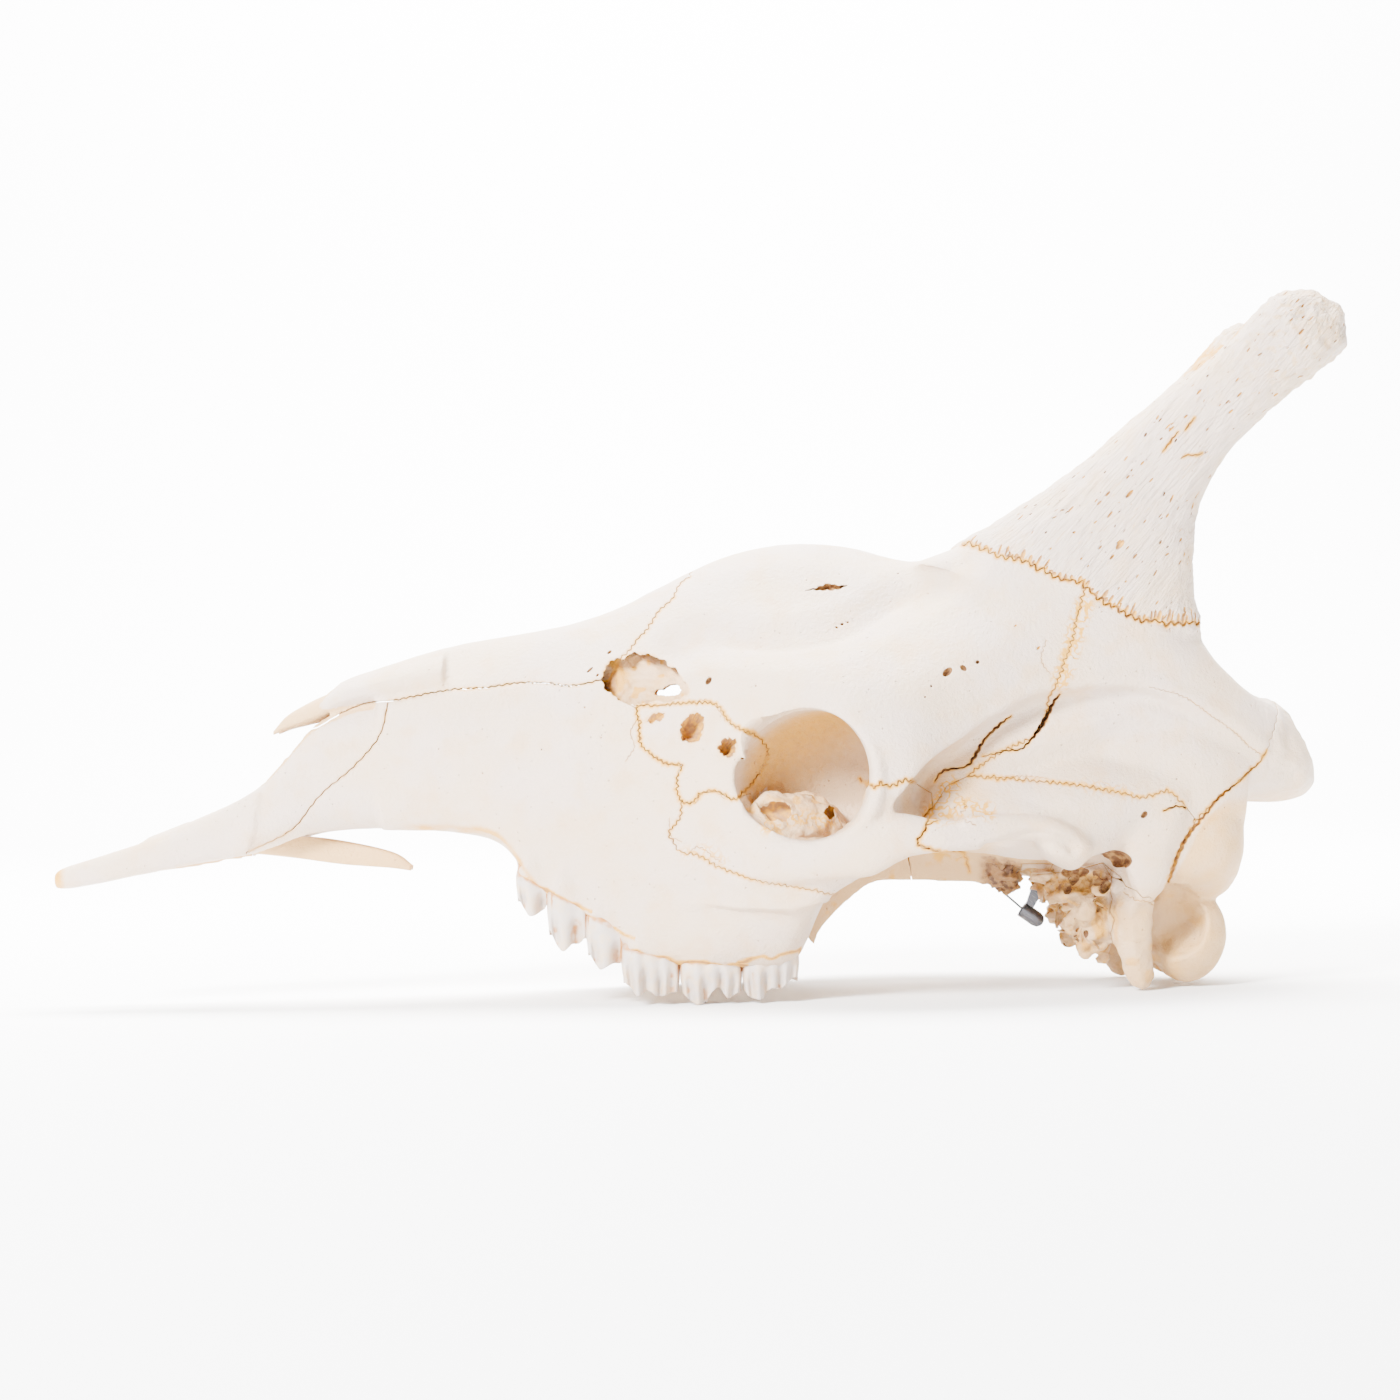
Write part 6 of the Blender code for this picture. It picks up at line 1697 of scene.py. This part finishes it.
def carve(skull):
    """Cuts the windows, holes, pits, cracks and grooves into the weathered surface.

    Paired bones are made on the left and mirrored, so only what crosses into the middle bones is
    cut on both sides.
    """
    skin = Skin(skull)
    cutters = [prism(ragged(FACE_WINDOW, 1.5, 41, 5.0), -34, -OUTER, finish=AMBER_FACE),
               prism(SEE_THROUGH, -34, 34, finish=AMBER_FACE), eye_edge()]
    for k, (hole, deep) in enumerate(zip(TEAR_HOLES, TEAR_DEPTHS)):
        surface = skin.at(*np.mean(hole, axis=0))[0][1]
        cutters.append(funnel(ragged(hole, 1.0, 42 + k, 2.2), surface, deep, AMBER_FACE))
    for k, (hole, near) in enumerate(BULB_HOLES):
        cutters.append(prism(ragged(hole, 0.9, 47 + k), -near, -84, finish=AMBER_FACE))
    cutters.append(holes_at(HOLES, skin, 3.0, BROWN_FACE))
    cutters.append(holes_at([(x, z, a, b * 0.7) for x, z, a, b in HORN_MARKS], skin, 1.6, AMBER_FACE))
    cutters.append(drips(skin))
    count = sizes().pits
    cutters += [random_pits(skull, many, seed, keep, size, finish) for many, seed, keep, size, finish in (
        (count, 51, on_left_horn, (2.1, 0.7, 1.1), AMBER_FACE),
        (count // 2, 55, on_left_horn, (1.5, 0.6, 1.1), BROWN_FACE),
        (90, 53, on_left_face, (0.5, 0.4, 0.6), BROWN_FACE),
        (34, 57, in_left_ear, (5.2, 3.0, 4.6), BROWN_FACE))]
    # The recesses' brown walls are partly painted shade.
    cutters += [ball(centre, halves, BROWN_FACE) for centre, halves in RECESSES]
    for name, line in LINES.items():
        widths, depth = (0.9, 0.5, 1.1, 0.6, 0.8), 0.35
        if name == "horn":
            shares = np.interp(np.linspace(0, 1, 60), (0, 0.22, 0.35, 1), (0.4, 0.45, 1, 1))
            widths, depth = np.random.default_rng(71).uniform(0.7, 2.8, 60) * shares, 1.4
        elif name == "eye_bar":
            widths, depth = (1.2, 1.8, 1.0, 1.6, 1.2), 1.0
        else:
            line = line[line[:, 1] < level(HORN_SUTURE, line[:, 0]) - 1]
        if name == "neck":
            line = line[line[:, 1] < STAIN_TOP[name]]
        if name == "cheek":
            line = line[line[:, 1] > 78]
        cutters.append(ribbon(line, widths, depth, skin))
    cutters += [ribbon(wandered(line, swing, 2.6, 61 + k), (0.3, 0.55, 0.4, 0.5), 0.5, skin)
                for k, (line, swing) in enumerate(FINE_LINES)]
    both = [ribbon(wandered(line, 0.5, 4.0, 81 + k), widths, depth, skin, finish)
            for k, (line, widths, depth, finish) in enumerate(CUTS)]
    cutters += both + [twin(cut, "cut") for cut in both]
    for keep, count, radius, seed in ((in_left_ear, 18, 5.5, 101), (in_left_base, 9, 4.0, 107)):
        fins = shards(skull, count, seed, keep, radius)
        combine(skull, fins + [twin(fin, "fin") for fin in fins], "UNION")
    return combine(skull, cutters, "DIFFERENCE")


class SKULL_OT_stage(bpy.types.Operator):
    """Build the floor, the backdrop, the lights and the camera"""

    bl_idname = "skull.stage"
    bl_label = "Stage"

    def execute(self, context):
        stage = context.scene.studio_sizes
        half = stage.floor
        v = np.linspace(0, 1, 60)
        turn = np.clip((v - 0.4) / 0.2, 0, 1) * math.pi / 2
        bend = BACKDROP_BEND
        y = np.where(v < 0.4, -half + (v / 0.4) * (2 * half - bend), half - bend + bend * np.sin(turn))
        z = bend * (1 - np.cos(turn)) * (v >= 0.4) + np.clip(v - 0.6, 0, 1) / 0.4 * BACKDROP_WALL
        points = np.vstack([np.column_stack([np.full(60, x), y, z]) for x in (-1.6 * half, 1.6 * half)])
        k = np.arange(59)
        faces = np.stack([k, k + 60, k + 61, k + 1], axis=-1).tolist()
        mesh = bpy.data.meshes.new("floor")
        mesh.from_pydata(points.tolist(), [], faces)
        mesh.shade_smooth()
        mesh.materials.append(Graph("white paper").finish(PAPER, 0.9))
        linked("floor", mesh)
        world = bpy.data.worlds.new("studio")
        world.use_nodes = True
        sky = world.node_tree.nodes["Background"].inputs
        sky["Color"].default_value = (1, 1, 1, 1)
        sky["Strength"].default_value = SKY
        context.scene.world = world
        for name, place, aim, size, share in LIGHTS:
            light = bpy.data.lights.new(name, "AREA")
            light.size = size
            light.energy = stage.key * share
            lamp = linked(name, light)
            lamp.location = place
            lamp.rotation_euler = (Vector(aim) - Vector(place)).to_track_quat("-Z", "Y").to_euler()
        lens = bpy.data.cameras.new("camera")
        lens.sensor_width = 36
        lens.lens = stage.lens
        camera = linked("camera", lens)
        c, s = math.cos(CAMERA_ROLL), math.sin(CAMERA_ROLL)
        turn = Matrix(((c, s, 0), (0, 0, -1), (-s, c, 0)))
        x, z = CAMERA_AT
        place = Matrix.Translation(((x - MIDDLE_X) * MM, -stage.distance, z * MM))
        camera.matrix_world = place @ turn.to_4x4()
        context.scene.camera = camera
        return {"FINISHED"}


class SKULL_OT_teeth(bpy.types.Operator):
    """Build the six cheek teeth of each side and the thin plate behind each face window"""

    bl_idname = "skull.teeth"
    bl_label = "Teeth and Plates"

    def execute(self, context):
        enamel = tooth_material()
        for number in range(len(TEETH)):
            left = tooth(number)
            left.data.materials.clear()
            left.data.materials.append(enamel)
            tooth_marks(left.data)
            dress_pair(left, f"tooth_{number + 1}", "bone")
        left = lamella()
        points = corners_of(left.data)
        patch = 0.5 + 0.5 * noise(points, 6, 93)
        small = rise(noise(points, 3.6, 94), 0.15, 0.6)
        mark(left.data, "stain", np.maximum(rise(patch, 0.4, 0.75) * band(points[:, 0], None, (304, 320)),
                                            0.7 * small))
        mark(left.data, "warm", 0.5 + 0.5 * patch)
        mark(left.data, "rough", 0 * patch)
        mark(left.data, "lace", 0 * patch)
        dress_pair(left, "lamella", "stained_bone")
        return {"FINISHED"}


class SKULL_OT_hanger(bpy.types.Operator):
    """Build the steel cap and the wire that hang under the skull base"""

    bl_idname = "skull.hanger"
    bl_label = "Hanger"

    def execute(self, context):
        cap_at, wire_at, y = CAP["mouth"], CAP["wire_top"], -CAP["w"]
        cap = turned("hanger_cap_steel", CAP["profile"], (cap_at[0], y, cap_at[1]), CAP["heading"])
        combine(cap, [prism(CAP["tab"], y - CAP["tab_width"] / 2, y + CAP["tab_width"] / 2)], "UNION")
        across = cap_at[0] + CAP["wire_reach"] * math.cos(CAP["heading"]) - wire_at[0]
        down = cap_at[1] + CAP["wire_reach"] * math.sin(CAP["heading"]) - wire_at[1]
        profile = [(0, CAP["wire"]), (math.hypot(across, down), CAP["wire"])]
        heading = math.atan2(down, across)
        wire = turned("hanger_wire_steel", profile, (wire_at[0], y, wire_at[1]), heading, 20)
        steel = steel_material()
        for piece, node in ((cap, "hanger_cap"), (wire, "hanger_wire")):
            piece.data.materials.clear()
            piece.data.materials.append(steel)
            dress(piece, "dark_steel", node)
            piece.data.set_sharp_from_angle(angle=math.radians(35))
        return {"FINISHED"}


class SKULL_PT_panel(bpy.types.Panel):
    """Buttons and sizes of the skull in the sidebar"""

    bl_idname = "SKULL_PT_panel"
    bl_label = "Giraffe Skull"
    bl_space_type = "VIEW_3D"
    bl_region_type = "UI"
    bl_category = "Skull"

    def draw(self, context):
        for made in OPERATORS:
            self.layout.operator(made.bl_idname)
        for group in (context.scene.skull_sizes, context.scene.skull_colours, context.scene.studio_sizes):
            for name in type(group).__annotations__:
                self.layout.prop(group, name)


OPERATORS = (SKULL_OT_bones, SKULL_OT_teeth, SKULL_OT_hanger, SKULL_OT_stage)
CLASSES = (SkullSizes, SkullColours, StudioSizes, *OPERATORS, SKULL_PT_panel)


def register():
    for made in CLASSES:
        bpy.utils.register_class(made)
    bpy.types.Scene.skull_sizes = PointerProperty(type=SkullSizes)
    bpy.types.Scene.skull_colours = PointerProperty(type=SkullColours)
    bpy.types.Scene.studio_sizes = PointerProperty(type=StudioSizes)


def unregister():
    del bpy.types.Scene.skull_sizes
    del bpy.types.Scene.skull_colours
    del bpy.types.Scene.studio_sizes
    for made in reversed(CLASSES):
        bpy.utils.unregister_class(made)


def main():
    register()
    bpy.ops.skull.bones()
    bpy.ops.skull.teeth()
    bpy.ops.skull.hanger()
    bpy.ops.skull.stage()


if __name__ == "__main__":
    main()
